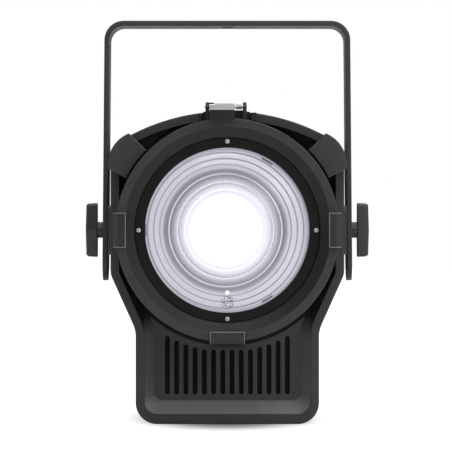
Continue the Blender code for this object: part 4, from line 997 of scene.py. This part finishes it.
def over_arch(angle):
    """Where a ray from the lens axis, at an angle, crosses the arch moved out by the overhang."""
    radius = ARCH_RADIUS + CORNER_OVERHANG
    lean = ARCH_CENTRE * math.sin(math.radians(angle))
    reach = lean + math.sqrt(lean ** 2 - ARCH_CENTRE ** 2 + radius ** 2)
    return reach * math.cos(math.radians(angle)), reach * math.sin(math.radians(angle))


def corner_outline(side):
    """The block from the front: round inside, and just over the housing's corner outside."""
    inner = arc((0, 0), CORNER_INNER, CORNER_START, CORNER_END, 24)
    shoulder = arc((SHOULDER_X, SHOULDER_Z), SHOULDER + CORNER_OVERHANG, SHOULDER_START, 0, 16)
    low_x = SIDE_X + CORNER_OVERHANG
    low_z = low_x * math.tan(math.radians(CORNER_START))
    corners = [(x, z, 0) for x, z in inner]
    corners.append((*over_arch(CORNER_END), CORNER_FILLET))
    corners += [(x, z, 0) for x, z in shoulder]
    corners.append((low_x, low_z, CORNER_FILLET))
    return [(side * x, z) for x, z in rounded(corners)]


def make_corner_block(side, name):
    """The cast block that ties the barrel to the housing's upper corner."""
    low, high = span(name)
    start = CORNER_START + CORNER_LEG_MARGIN
    end = CORNER_END - CORNER_LEG_MARGIN
    inner = arc((0, 0), CORNER_INNER, start, end, 16)
    outer = arc((0, 0), CORNER_LEG_OUTER, end, start, 16)
    leg_outline = [(side * x, z) for x, z in inner + outer]
    pad = prism(name.replace("corner", "corner_casting"), [corner_outline(side)], low.y, RIM_Y - 0.0003,
                edge=0.0012, edge_steps=3)
    leg = prism("leg", [leg_outline], RIM_Y - 0.002, high.y)
    add(gather(pad, leg), HOUSING_PAINT, name)


# --------------------------------------------------------------------- ring and its lens
def make_ring():
    profile = rounded([
        (RING_RADIUS, RING_Y, 0.0009),
        (RING_RADIUS, BARREL_BACK_Y, 0.0003),
        (BARREL_BORE, BARREL_BACK_Y, 0.0003),
        (BARREL_BORE, FRAME_BACK_Y, 0.0003),
        (POCKET_RADIUS, FRAME_BACK_Y, 0.0003),
        (POCKET_RADIUS, POCKET_Y, 0.0003),
        (FUNNEL_RADIUS, POCKET_Y, 0.0003),
        (FUNNEL_RADIUS, FUNNEL_Y, 0.0004),
        (BAND_RADIUS, RING_Y, 0.0008),
    ], 4)
    add(turned("lens_bezel", profile, steps=256), RING_PAINT, "bezel_ring")


def screw_spots():
    spots = []
    for quarter in range(4):
        angle = math.radians(90 * quarter)
        spots.append((SCREW_CIRCLE * math.cos(angle), 0, SCREW_CIRCLE * math.sin(angle)))
    return spots


def make_keeper():
    back = KEEPER_HIGH.y
    profile = rounded([
        (KEEPER_OUTER, KEEPER_Y, 0.0003),
        (KEEPER_OUTER, back, 0.0002),
        (KEEPER_INNER, back, 0.0002),
        (KEEPER_INNER, KEEPER_Y, 0.0004),
    ], 3)
    keeper = turned("lens_keeper", profile, steps=192)
    for x, _, z in screw_spots():
        sink = circle(SINK_RADIUS, (x, z), 32)
        cut(keeper, prism("sink", [sink], KEEPER_Y - 0.001, KEEPER_Y + SINK_DEPTH))
    add(keeper, KEEPER_PAINT, "lens_retaining_ring")


def cross_screw(name, spot, turn, node):
    """A pan-head screw with a cross recess, its head facing -Y."""
    radius = SCREW_RADIUS
    height = radius * 0.45
    head_y = KEEPER_Y - 0.0003
    dome = [(0, head_y - height)]
    for step in range(1, 7):
        angle = math.pi / 2 * step / 6
        dome.append((radius * math.sin(angle), head_y - height * math.cos(angle)))
    dome += [(radius, head_y), (radius * 0.7, head_y), (radius * 0.7, head_y + 0.002), (0, head_y + 0.002)]
    screw = turned(name, dome, at=spot, steps=32)
    half = Vector((radius * 0.62, height * 0.9, radius * 0.20))
    to_head = Matrix.Translation((spot[0], head_y - height, spot[2]))
    for index in range(2):
        bar = block("recess", -half, half, 0.00002, 1)
        bar.data.transform(to_head @ Matrix.Rotation(math.radians(turn + 90 * index), 4, "Y"))
        cut(screw, bar)
    add(screw, ZINC_PLATE, node, angle=30)


def make_lens():
    """A bull's-eye dome with rings of fine prisms around it."""
    front = LENS_FRONT_Y
    dome_radius = ZONE_RADII[0]
    profile = [(0, front)]
    for step in range(1, 13):
        radius = dome_radius * step / 12
        profile.append((radius, front + DOME_RISE * (radius / dome_radius) ** 2 * 0.55))
    for inner, outer in zip(ZONE_RADII, ZONE_RADII[1:]):
        profile.append((inner + 0.0003, front + 0.0005))
        for step in range(1, 4):
            radius = inner + 0.0003 + (outer - inner - 0.0003) * step / 3
            profile.append((radius, front + 0.0005 + GROOVE * (step / 3) ** 1.4))
    rim = ZONE_RADII[-1] + 0.0003
    profile += [(rim, front + 0.0003), (LENS_RADIUS, front + 0.0003)]
    profile += [(LENS_RADIUS, LENS_HIGH.y), (0, LENS_HIGH.y)]
    add(turned("lens_disc", profile, steps=192), LENS_GLASS, "fresnel_lens", angle=24)


def make_accessory_clip(name, angle, paint):
    """A folded clip on the barrel, whose lip holds a frame against the ring."""
    flat = RING_RADIUS + 0.0003
    profile = rounded([
        (CLIP_BACK_Y, flat, 0.0002),
        (CLIP_BACK_Y, flat + SHEET, 0.0002),
        (CLIP_SLANT_Y, flat + SHEET, 0.0022),
        (CLIP_FRONT_Y, CLIP_FOLD_RADIUS + 0.0006, 0.0020),
        (CLIP_FRONT_Y, CLIP_LIP_RADIUS, 0.0003),
        (CLIP_FRONT_Y + SHEET, CLIP_LIP_RADIUS, 0.0003),
        (CLIP_FRONT_Y + SHEET, CLIP_FOLD_RADIUS, 0.0008),
        (CLIP_SLANT_Y + 0.0002, flat, 0.0008),
    ], 5)
    clip = prism(name.replace("clip", "holder"), [profile], -CLIP_HALF_WIDTH, CLIP_HALF_WIDTH, "X",
                 edge=0.0004)
    clip.data.transform(Matrix.Rotation(math.radians(angle), 4, "Y"))
    add(clip, paint, name)


# --------------------------------------------------------------------------------- latch
def make_latch_mount(at):
    seat = RING_RADIUS + 0.0004
    half = MOUNT_HALF_WIDTH
    angle = math.degrees(math.acos(half / seat))
    foot = seat * math.sin(math.radians(angle))
    outline = arc((0, 0), seat, angle, 180 - angle, 32)
    outline += rounded([
        (-half, foot, 0),
        (-half, MOUNT_LEFT_TOP, 0.0006),
        (MOUNT_LEFT_STEP, MOUNT_LEFT_TOP, 0.0006),
        (MOUNT_LEFT_STEP + 0.0010, MOUNT_TOP, 0.0008),
        (MOUNT_RIGHT_STEP, MOUNT_TOP, 0.0004),
        (MOUNT_RIGHT_STEP + 0.0005, MOUNT_RIGHT_TOP, 0.0004),
        (half, MOUNT_RIGHT_TOP, 0.0008),
        (half, foot, 0),
    ], 3, closed=False)[1:-1]
    low, high = span("latch_bracket")
    bracket = prism("latch_mount", [outline], low.y, high.y, edge=0.0004)
    for left, right in MOUNT_POCKETS:
        cut(bracket, block("pocket", (left, low.y - 0.001, RING_RADIUS - 0.008),
                           (right, MOUNT_POCKET_BACK_Y, MOUNT_TOP + 0.001), 0.0003))
    post = [(POST_HALF_DEPTH, -POST_DROP), (POST_HALF_DEPTH, 0)]
    post += arc((0, 0), POST_ROUND, 20, 160, 16)
    post += [(-POST_HALF_DEPTH, 0), (-POST_HALF_DEPTH, -POST_DROP)]
    posts = []
    for x in (LEFT_POST_X, RIGHT_POST_X):
        start = x - POST_THICKNESS / 2
        posts.append(prism("post", [post], start, start + POST_THICKNESS, "X", at, edge=0.0004))
    tab_low = PIN_Z + TAB_RISE
    tab = block("post_tab", (LEFT_POST_X, PIN_Y - TAB_HALF_DEPTH, tab_low),
                (LATCH_LEFT + TAB_REACH, PIN_Y + TAB_HALF_DEPTH, tab_low + TAB_THICKNESS))
    # A dark wall behind the spring stands in for the shade there.
    wall = block("spring_wall", (LATCH_RIGHT, MOUNT_POCKET_BACK_Y + 0.0005, RING_RADIUS + 0.001),
                 (RIGHT_POST_X - POST_THICKNESS / 2, MOUNT_POCKET_BACK_Y + 0.0060, PIN_Z - KNUCKLE), 0.0002)
    add(gather(bracket, tab, wall, *posts), LATCH_PAINT, "latch_bracket")


def make_latch():
    at = (0, PIN_Y, PIN_Z)
    make_latch_mount(at)
    low, high = span("latch_pin")
    rows = [(PIN_RADIUS, high.x, 0.0004), (PIN_RADIUS, low.x, 0.0004)]
    add(spindle("latch_hinge_pin", rows, "X", at, 32), ZINC_STEEL, "latch_pin")
    make_latch_spring(at)
    make_latch_plate(at)


def make_latch_spring(at):
    per_turn = 20
    start = LATCH_RIGHT + 0.0010
    end = RIGHT_POST_X - POST_THICKNESS / 2 - 0.0010
    path = []
    for step in range(SPRING_TURNS * per_turn + 1):
        angle = 2 * math.pi * step / per_turn
        x = start + (end - start) * step / (SPRING_TURNS * per_turn)
        path.append((x, SPRING_RADIUS * math.cos(angle), SPRING_RADIUS * math.sin(angle)))
    spring = wire("latch_return_spring", path, SPRING_WIRE, at, 2)
    add(spring, ZINC_STEEL, "latch_spring")


def make_latch_plate(at):
    """The sprung keeper: a knuckle on the pin, a bright sloped top and a painted face."""
    front = CLIP_FRONT_Y - PIN_Y
    top = KNUCKLE - 0.0002
    thickness = 0.0012
    seam = FOLD_DROP + 0.0002
    profile = rounded([
        (0, top, 0),
        (front, -FOLD_DROP, 0.0004),
        (front, -seam, 0),
        (front + thickness, -seam, 0),
        (0, top - thickness - 0.0004, 0),
    ], 4)
    plate = prism("latch_tongue", [profile], LATCH_LEFT, LATCH_RIGHT, "X", at)
    cut(plate, prism("bore", [circle(PIN_RADIUS + 0.0003)], -0.02, 0.02, "X", at))
    rings = [circle(KNUCKLE), circle(PIN_RADIUS + 0.0002)]
    tube = prism("knuckle", rings, LATCH_LEFT, LATCH_RIGHT, "X", at, edge=0.0002)
    for part in (plate, tube):
        notch = [circle(NOTCH_RADIUS)]
        cut(part, prism("notch", notch, LATCH_LEFT - 0.001, LATCH_LEFT + NOTCH_DEPTH, "X", at))
    add(gather(plate, tube), LATCH_STEEL, "latch_plate", body="latch")
    face = block("latch_face", (LATCH_LEFT, CLIP_FRONT_Y, PIN_Z - FOOT_DROP),
                 (LATCH_RIGHT, CLIP_FRONT_Y + thickness, PIN_Z - seam), 0.0003)
    add(face, LATCH_PAINT, body="latch")


# ------------------------------------------------------------------------ yoke and clamps
def yoke_path():
    """(x, z, normal angle, half depth) along the strap's middle, from one foot to the other."""
    middle_x = YOKE_INNER_X + STRAP / 2
    lean = math.atan(YOKE_LEAN)
    bend = YOKE_BEND + STRAP / 2
    centre_z = YOKE_TOP - STRAP / 2 - bend
    centre_x = middle_x - YOKE_LEAN * centre_z - bend
    right = []
    for step in range(1, 13):
        angle = math.pi / 2 * step / 12
        z = YOKE_LOW.z + YOKE_HALF_DEPTH * (1 - math.cos(angle))
        right.append((middle_x - YOKE_LEAN * z, z, lean, YOKE_HALF_DEPTH * math.sin(angle)))
    for step in range(13):
        turn = lean + (math.pi / 2 - lean) * step / 12
        x = centre_x + bend * math.cos(turn)
        z = centre_z + bend * math.sin(turn)
        right.append((x, z, turn, YOKE_HALF_DEPTH))
    left = [(-x, z, math.pi - turn, depth) for x, z, turn, depth in reversed(right)]
    return right + left


def make_yoke():
    rings = []
    edge = 0.0009
    for x, z, turn, depth in yoke_path():
        radius = min(edge, depth * 0.9)
        section = rectangle(STRAP / 2, depth, radius, steps=4)
        rings.append([(x + out * math.cos(turn), y, z + out * math.sin(turn)) for out, y in section])
    yoke = skin("yoke_strap", rings)
    cut(yoke, prism("hole", [circle(YOKE_HOLE, steps=48)], YOKE_TOP - 0.01, YOKE_TOP + 0.01, "Z"))
    for side in (-1, 1):
        middle = side * (YOKE_INNER_X + STRAP / 2)
        cut(yoke, prism("arm_hole", [circle(ARM_HOLE)], middle - 0.008, middle + 0.008, "X"))
    add(yoke, YOKE_PAINT, "yoke", body="yoke")


def make_pivot_block(side, name):
    low, high = span(name)
    near, far = (low.x, high.x) if side > 0 else (high.x, low.x)
    rings = []
    for inset, x in [(0.0, near)] + rounding(0.0, far, PIVOT_EDGE, -side):
        outline = rectangle(high.y - inset, high.z - inset, PIVOT_CORNER - inset)
        rings.append([(x, y, z) for y, z in outline])
    add(skin(name.replace("block", "plate"), rings), HOUSING_PAINT, name)


def wing_outline(scale_y, scale_z):
    """The tee bar from the side: widest in the middle, with a soft crest across."""
    half_height = KNOB_HALF_HEIGHT * scale_z
    middle = KNOB_HALF_DEPTH * scale_y
    tip = KNOB_TIP_HALF_DEPTH * scale_y
    corner = KNOB_CORNER_ROUND * scale_y
    return rounded([
        (-middle, 0, KNOB_CREST_ROUND),
        (-tip, half_height, corner),
        (tip, half_height, corner),
        (middle, 0, KNOB_CREST_ROUND),
        (tip, -half_height, corner),
        (-tip, -half_height, corner),
    ], 6)


def make_tilt_knob(side, name):
    """A tee handle on a round neck, its back bowed and its corners cut."""
    stages = [
        (KNOB_NECK_X + 0.0004, 0.985, 0.992),
        (KNOB_NECK_X, 0.955, 0.982),
        (KNOB_NECK_X, 0.30, 0.30),
    ]
    stages = stages[::-1] + [
        (KNOB_NECK_X + 0.0010, 1.0, 1.0),
        (KNOB_OUT_X - 0.0024, 0.985, 0.985),
        (KNOB_OUT_X - 0.0018, 0.955, 0.975),
        (KNOB_OUT_X - 0.0004, 0.80, 0.945),
        (KNOB_OUT_X, 0.74, 0.935),
        (KNOB_OUT_X, 0.30, 0.30),
    ]
    rings = []
    for x, scale_y, scale_z in stages:
        ring = []
        for y, z in wing_outline(scale_y, scale_z):
            bow = KNOB_BOW * (z / KNOB_HALF_HEIGHT) ** 2
            bow = bow if x > KNOB_NECK_X + 0.005 else 0.0
            ring.append((side * (x - bow), y, z))
        rings.append(ring)
    bar = skin(name.replace("knob", "handle"), rings)
    start = side * (YOKE_INNER_X + STRAP + 0.0003)
    end = side * (KNOB_NECK_X + 0.003)
    neck = spindle("neck", [(KNOB_NECK, start, 0.0006), (KNOB_NECK, end, 0)], "X", steps=64)
    add(gather(bar, neck), KNOB_PLASTIC, name, body=name)


# ---------------------------------------------------------------------------- rear panel
def socket_centres():
    return {name: (span(name)[0].x + span(name)[1].x) / 2
            for name in ("power_in_socket", "power_out_socket", "dmx_in_socket", "dmx_out_socket")}


def button_centres():
    spots = []
    for number in range(1, 5):
        low, high = span(f"button_{number}")
        spots.append(((low.x + high.x) / 2, (low.z + high.z) / 2))
    return spots


def make_rear_panel():
    display_low, display_high = span("display_window")
    display_at = (0, (display_low.z + display_high.z) / 2)
    gap = 0.0003
    outlines = [panel_outline(0)]
    outlines += [circle(SOCKET_BORE + gap, (x, SOCKET_Z), 48) for x in socket_centres().values()]
    outlines += [circle(BUTTON_RADIUS + gap, spot, 32) for spot in button_centres()]
    outlines.append(circle(FUSE_RADIUS + gap, (0, SOCKET_Z), 32))
    outlines.append(circle(SCREW_HOLE, (0, SCREW_Z), 32))
    outlines.append(rectangle(display_high.x + gap, DISPLAY_HALF_HEIGHT + gap, 0.001, display_at))
    panel = prism("control_panel", outlines, PANEL_LOW.y, REAR_Y, edge=0.0003)
    add(panel, SHEET_PAINT, "rear_panel")
    window = prism("display_pane", [rectangle(display_high.x, DISPLAY_HALF_HEIGHT, 0.001, display_at)],
                   display_low.y, display_high.y, edge=0.0002)
    add(window, DISPLAY_GLASS, "display_window")


def make_buttons():
    flange = BUTTON_RADIUS + 0.0012
    flange_y = PANEL_LOW.y - 0.0006
    for number, (x, z) in enumerate(button_centres(), 1):
        name = f"button_{number}"
        low, high = span(name)
        rows = [(BUTTON_RADIUS, high.y, 0.0009), (BUTTON_RADIUS, flange_y, 0)]
        rows += [(flange, flange_y, 0), (flange, low.y, 0)]
        button = spindle("push_" + name, rows, at=(x, 0, z), corner_steps=5)
        add(button, RUBBER, name, body=name)


def make_focus_knob():
    low, high = span("focus_knob")
    skirt = FOCUS_KNOB_RADIUS + 0.0020
    grip_y = low.y + 0.0060
    rows = [
        (FOCUS_KNOB_RADIUS - 0.0010, high.y, 0.0015),
        (FOCUS_KNOB_RADIUS, grip_y, 0.0010),
        (skirt, low.y + 0.0040, 0.0005),
        (skirt, low.y, 0.0004),
    ]

    def flutes(angle, along):
        """Hollows down the grip, none on the skirt."""
        if along < grip_y:
            return 1.0
        return 1.0 - FLUTE_DEPTH * max(math.cos(FLUTES * angle), 0) ** 2

    knob = spindle("focus_grip", rows, at=(0, 0, SCREW_Z), steps=192, reach=flutes)
    add(knob, KNOB_PLASTIC, "focus_knob", body="focus_screw")


def make_socket(name, x):
    """A flanged socket with three contacts: pins in a well, or holes in a solid face."""
    low, high = span(name)
    spot = (x, SOCKET_Z)
    flange_y = REAR_Y + 0.0003
    depth = REAR_Y - WELL_DEPTH
    contacts = arc(spot, CONTACT_CIRCLE, -90, 150, 2)
    outlines = [rectangle(FLANGE_HALF_WIDTH, FLANGE_HALF_HEIGHT, 0.003, spot)]
    cuts = []
    if name == "dmx_out_socket":
        parts = [prism("body", [circle(SOCKET_BORE, spot)], low.y, flange_y + 0.0005)]
        for contact in contacts:
            cuts.append(prism("contact", [circle(0.0014, contact, 24)], depth, REAR_Y + 0.01))
        gate = rectangle(GATE_HALF_WIDTH, GATE_HALF_HEIGHT, 0.0003, (x, SOCKET_Z + GATE_RISE))
        cuts.append(prism("latch_gate", [gate], depth, REAR_Y + 0.01))
    else:
        outlines.append(circle(WELL_RADIUS, spot, 48))
        profile = [(WELL_RADIUS, high.y - 0.0005), (SOCKET_BORE, high.y - 0.0005), (SOCKET_BORE, low.y)]
        profile += [(0.0, low.y), (0.0, depth), (WELL_RADIUS, depth)]
        parts = [turned("body", profile, at=(x, 0, SOCKET_Z), steps=48)]
        for contact in contacts:
            pin = [circle(0.0012, contact, 16)]
            parts.append(prism("pin", pin, depth - 0.001, REAR_Y - 0.002, edge=0.0003))
    flange = prism(name.replace("socket", "inlet"), outlines, flange_y, high.y, edge=0.0004)
    add(cut(gather(flange, *parts), *cuts), BLACK_PLASTIC, name)
    rows = [(0.0016, high.y + 0.0008, 0.0005), (0.0016, high.y - 0.001, 0)]
    for number, side in enumerate((-1, 1), 1):
        at = (x + side * FLANGE_SCREW_X, 0, SOCKET_Z - side * FLANGE_SCREW_Z)
        add(spindle(f"{name}_screw_{number}", rows, at=at, steps=24), ZINC_STEEL)


def make_socket_latch():
    low, high = span("dmx_out_latch")
    latch = block("socket_release", low, high, 0.0006, 3)
    add(latch, ZINC_STEEL, "dmx_out_latch", body="dmx_latch")


def make_fuse():
    low, high = span("fuse_holder")
    at = (0, 0, SOCKET_Z)
    seat_y = REAR_Y + 0.0003
    rows = [(FUSE_RADIUS, low.y, 0.0003), (FUSE_RADIUS, seat_y, 0), (FUSE_FLANGE, seat_y, 0)]
    rows += [(FUSE_FLANGE, high.y, 0.0004), (FUSE_WELL, high.y, 0.0002)]
    rows.append((FUSE_WELL, REAR_Y - FUSE_DEPTH, 0))
    add(spindle("fuse_body", rows, at=at, corner_steps=3), BLACK_PLASTIC, "fuse_holder")
    low, high = span("fuse_cap")
    under = REAR_Y + 0.0021
    rows = [(FUSE_CAP, high.y, 0.0010), (FUSE_CAP, under, 0.0003)]
    rows += [(FUSE_STEM, under, 0), (FUSE_STEM, low.y, 0)]
    cap = spindle("fuse_top", rows, at=at)
    groove = block("groove", (-0.0050, high.y - 0.0012, SOCKET_Z - 0.0006),
                   (0.0050, high.y + 0.001, SOCKET_Z + 0.0006), 0.0001, 1)
    add(cut(cap, groove), BLACK_PLASTIC, "fuse_cap", body="fuse_cap")


def make_safety_eye():
    low, high = span("safety_eye")
    bend = 0.010
    tip = high.y - EYE_WIRE
    path = [(EYE_HALF_WIDTH, low.y)]
    path += arc((EYE_HALF_WIDTH - bend, tip - bend), bend, 0, 90, 16)
    path += arc((bend - EYE_HALF_WIDTH, tip - bend), bend, 90, 180, 16)
    path += [(-EYE_HALF_WIDTH, low.y)]
    eye = wire("safety_loop", [(x, y, 0) for x, y in path], EYE_WIRE, (0, 0, EYE_Z), 6)
    add(eye, ZINC_STEEL, "safety_eye")


# ------------------------------------------------------------------------- kept CAD nodes
KEPT = {
    HOUSING_PAINT: ("bulkhead", "rear_chassis", "led_holder"),
    SHEET_PAINT: ("lens_clip_1", "lens_clip_2", "lens_clip_3"),
    ZINC_STEEL: ("guide_rod_left", "guide_rod_right", "lead_screw", "tilt_stud_left", "tilt_stud_right"),
    ALUMINIUM: ("carriage_plate", "heat_sink"),
    BRASS: ("lead_nut",),
    BLACK_PLASTIC: ("fan_frame", "fan_rotor"),
    NYLON: ("friction_washer_left", "friction_washer_right"),
    CIRCUIT: ("control_board",),
    MODULE_CASE: ("power_supply",),
    PHOSPHOR: ("led_cob",),
    DISPLAY_GLASS: ("condenser_lens",),
}


def dress_kept_nodes():
    for material, names in KEPT.items():
        for name in names:
            obj = frame["nodes"][name]
            obj.data.materials.clear()
            obj.data.materials.append(material)
            weld = obj.modifiers.new("weld", "WELD")
            weld.merge_threshold = 0.00001
            bevel = obj.modifiers.new("edges", "BEVEL")
            bevel.width = 0.0003
            bevel.segments = 2
            bevel.limit_method = "ANGLE"
            bevel.angle_limit = math.radians(40)


# ------------------------------------------------------------------ floor, light, camera
def make_floor():
    """Matt white, and plain white to the camera except close round the foot, where a painted shadow, shaped
    by distance, dims it over the real shading.
    """
    bpy.ops.mesh.primitive_plane_add(size=16.0, location=(0, 0, 0))
    floor = bpy.context.object
    floor.name = "studio_floor"
    material, tree, shader = new_material("floor_white")
    x, y, _ = place_on_piece(tree)
    across = math_node(tree, "DIVIDE", x, SHADOW_X)
    along = math_node(tree, "DIVIDE", y, SHADOW_Y)
    away = distance_node(tree, across, along)
    path = tree.nodes.new("ShaderNodeLightPath")
    seen = path.outputs["Is Camera Ray"]
    paint = ramp(tree, noise(tree, 2, 2), [(0.3, 0.80), (0.7, 0.82)])
    shadow = mix_colours(tree, seen, (1.0, 1.0, 1.0), (0.30, 0.30, 0.30))
    connect(tree, mix_colours(tree, 1.0, paint, shadow, "MULTIPLY"), shader.inputs["Base Color"])
    shader.inputs["Roughness"].default_value = 0.9
    shader.inputs["Specular IOR Level"].default_value = 0.1
    # The painted shadow: white glow to the camera, fading out close round the foot.
    glow = ramp(tree, away, SHADOW_TONES)
    shader.inputs["Emission Color"].default_value = (1.0, 1.0, 1.0, 1.0)
    connect(tree, math_node(tree, "MULTIPLY", glow, seen), shader.inputs["Emission Strength"])
    floor.data.materials.append(material)


def softbox(name, location, target, size, power):
    data = bpy.data.lights.new(name, "AREA")
    data.shape = "SQUARE"
    data.size = size
    data.energy = power
    lamp = bpy.data.objects.new(name, data)
    lamp.location = location
    lamp.rotation_euler = (Vector(target) - Vector(location)).to_track_quat("-Z", "Y").to_euler()
    bpy.context.scene.collection.objects.link(lamp)


def make_world():
    """White to the camera; to the lamp, a room that is dim in front and bright above."""
    world = bpy.data.worlds.new("studio")
    world.use_nodes = True
    bpy.context.scene.world = world
    tree = world.node_tree
    background = tree.nodes["Background"]
    coordinates = tree.nodes.new("ShaderNodeTexCoord")
    parts = tree.nodes.new("ShaderNodeSeparateXYZ")
    connect(tree, coordinates.outputs["Generated"], parts.inputs["Vector"])
    height = ramp(tree, math_node(tree, "MULTIPLY_ADD", parts.outputs["Z"], 0.5, 0.5),
                  [(0.0, 0.35), (0.5, 0.55), (0.75, 0.80), (1.0, 1.0)])
    depth = ramp(tree, math_node(tree, "MULTIPLY_ADD", parts.outputs["Y"], 0.5, 0.5),
                 [(0.0, 0.32), (0.35, 0.60), (0.5, 0.90), (1.0, 1.0)])
    room = mix_colours(tree, 1.0, height, depth, "MULTIPLY")
    path = tree.nodes.new("ShaderNodeLightPath")
    colour = mix_colours(tree, path.outputs["Is Camera Ray"], room, (1.0, 1.0, 1.0))
    connect(tree, colour, background.inputs["Color"])
    background.inputs["Strength"].default_value = 1.0


def make_camera():
    data = bpy.data.cameras.new("camera")
    data.lens = CAMERA_LENS
    data.sensor_width = 36
    data.clip_end = 50
    camera = bpy.data.objects.new("camera", data)
    camera.location = CAMERA_PLACE
    camera.rotation_euler = (math.radians(90), 0, 0)
    bpy.context.scene.collection.objects.link(camera)
    bpy.context.scene.camera = camera


def main():
    make_front_shell()
    make_chin_panel()
    make_shade_sheets()
    make_rear_shell()
    for side, word in ((-1, "left"), (1, "right")):
        make_corner_block(side, "corner_block_" + word)
        make_pivot_block(side, "pivot_block_" + word)
        make_tilt_knob(side, "tilt_knob_" + word)
    make_ring()
    make_keeper()
    for number, spot in enumerate(screw_spots(), 1):
        cross_screw(f"keeper_screw_{number}", spot, 20 + 31 * number, f"lens_ring_screw_{number}")
    make_lens()
    for side, angle, paint in (("left", -90, SIDE_CLIP_PAINT), ("right", 90, SIDE_CLIP_PAINT),
                               ("bottom", 180, LOW_CLIP_PAINT)):
        make_accessory_clip("accessory_clip_" + side, angle, paint)
    make_latch()
    make_yoke()
    make_rear_panel()
    make_buttons()
    make_focus_knob()
    for name, x in socket_centres().items():
        make_socket(name, x)
    make_socket_latch()
    make_fuse()
    make_safety_eye()
    dress_kept_nodes()
    make_floor()
    make_world()
    for setting in SOFTBOXES:
        softbox(*setting)
    make_camera()
    bpy.context.scene.view_settings.view_transform = "Standard"


main()
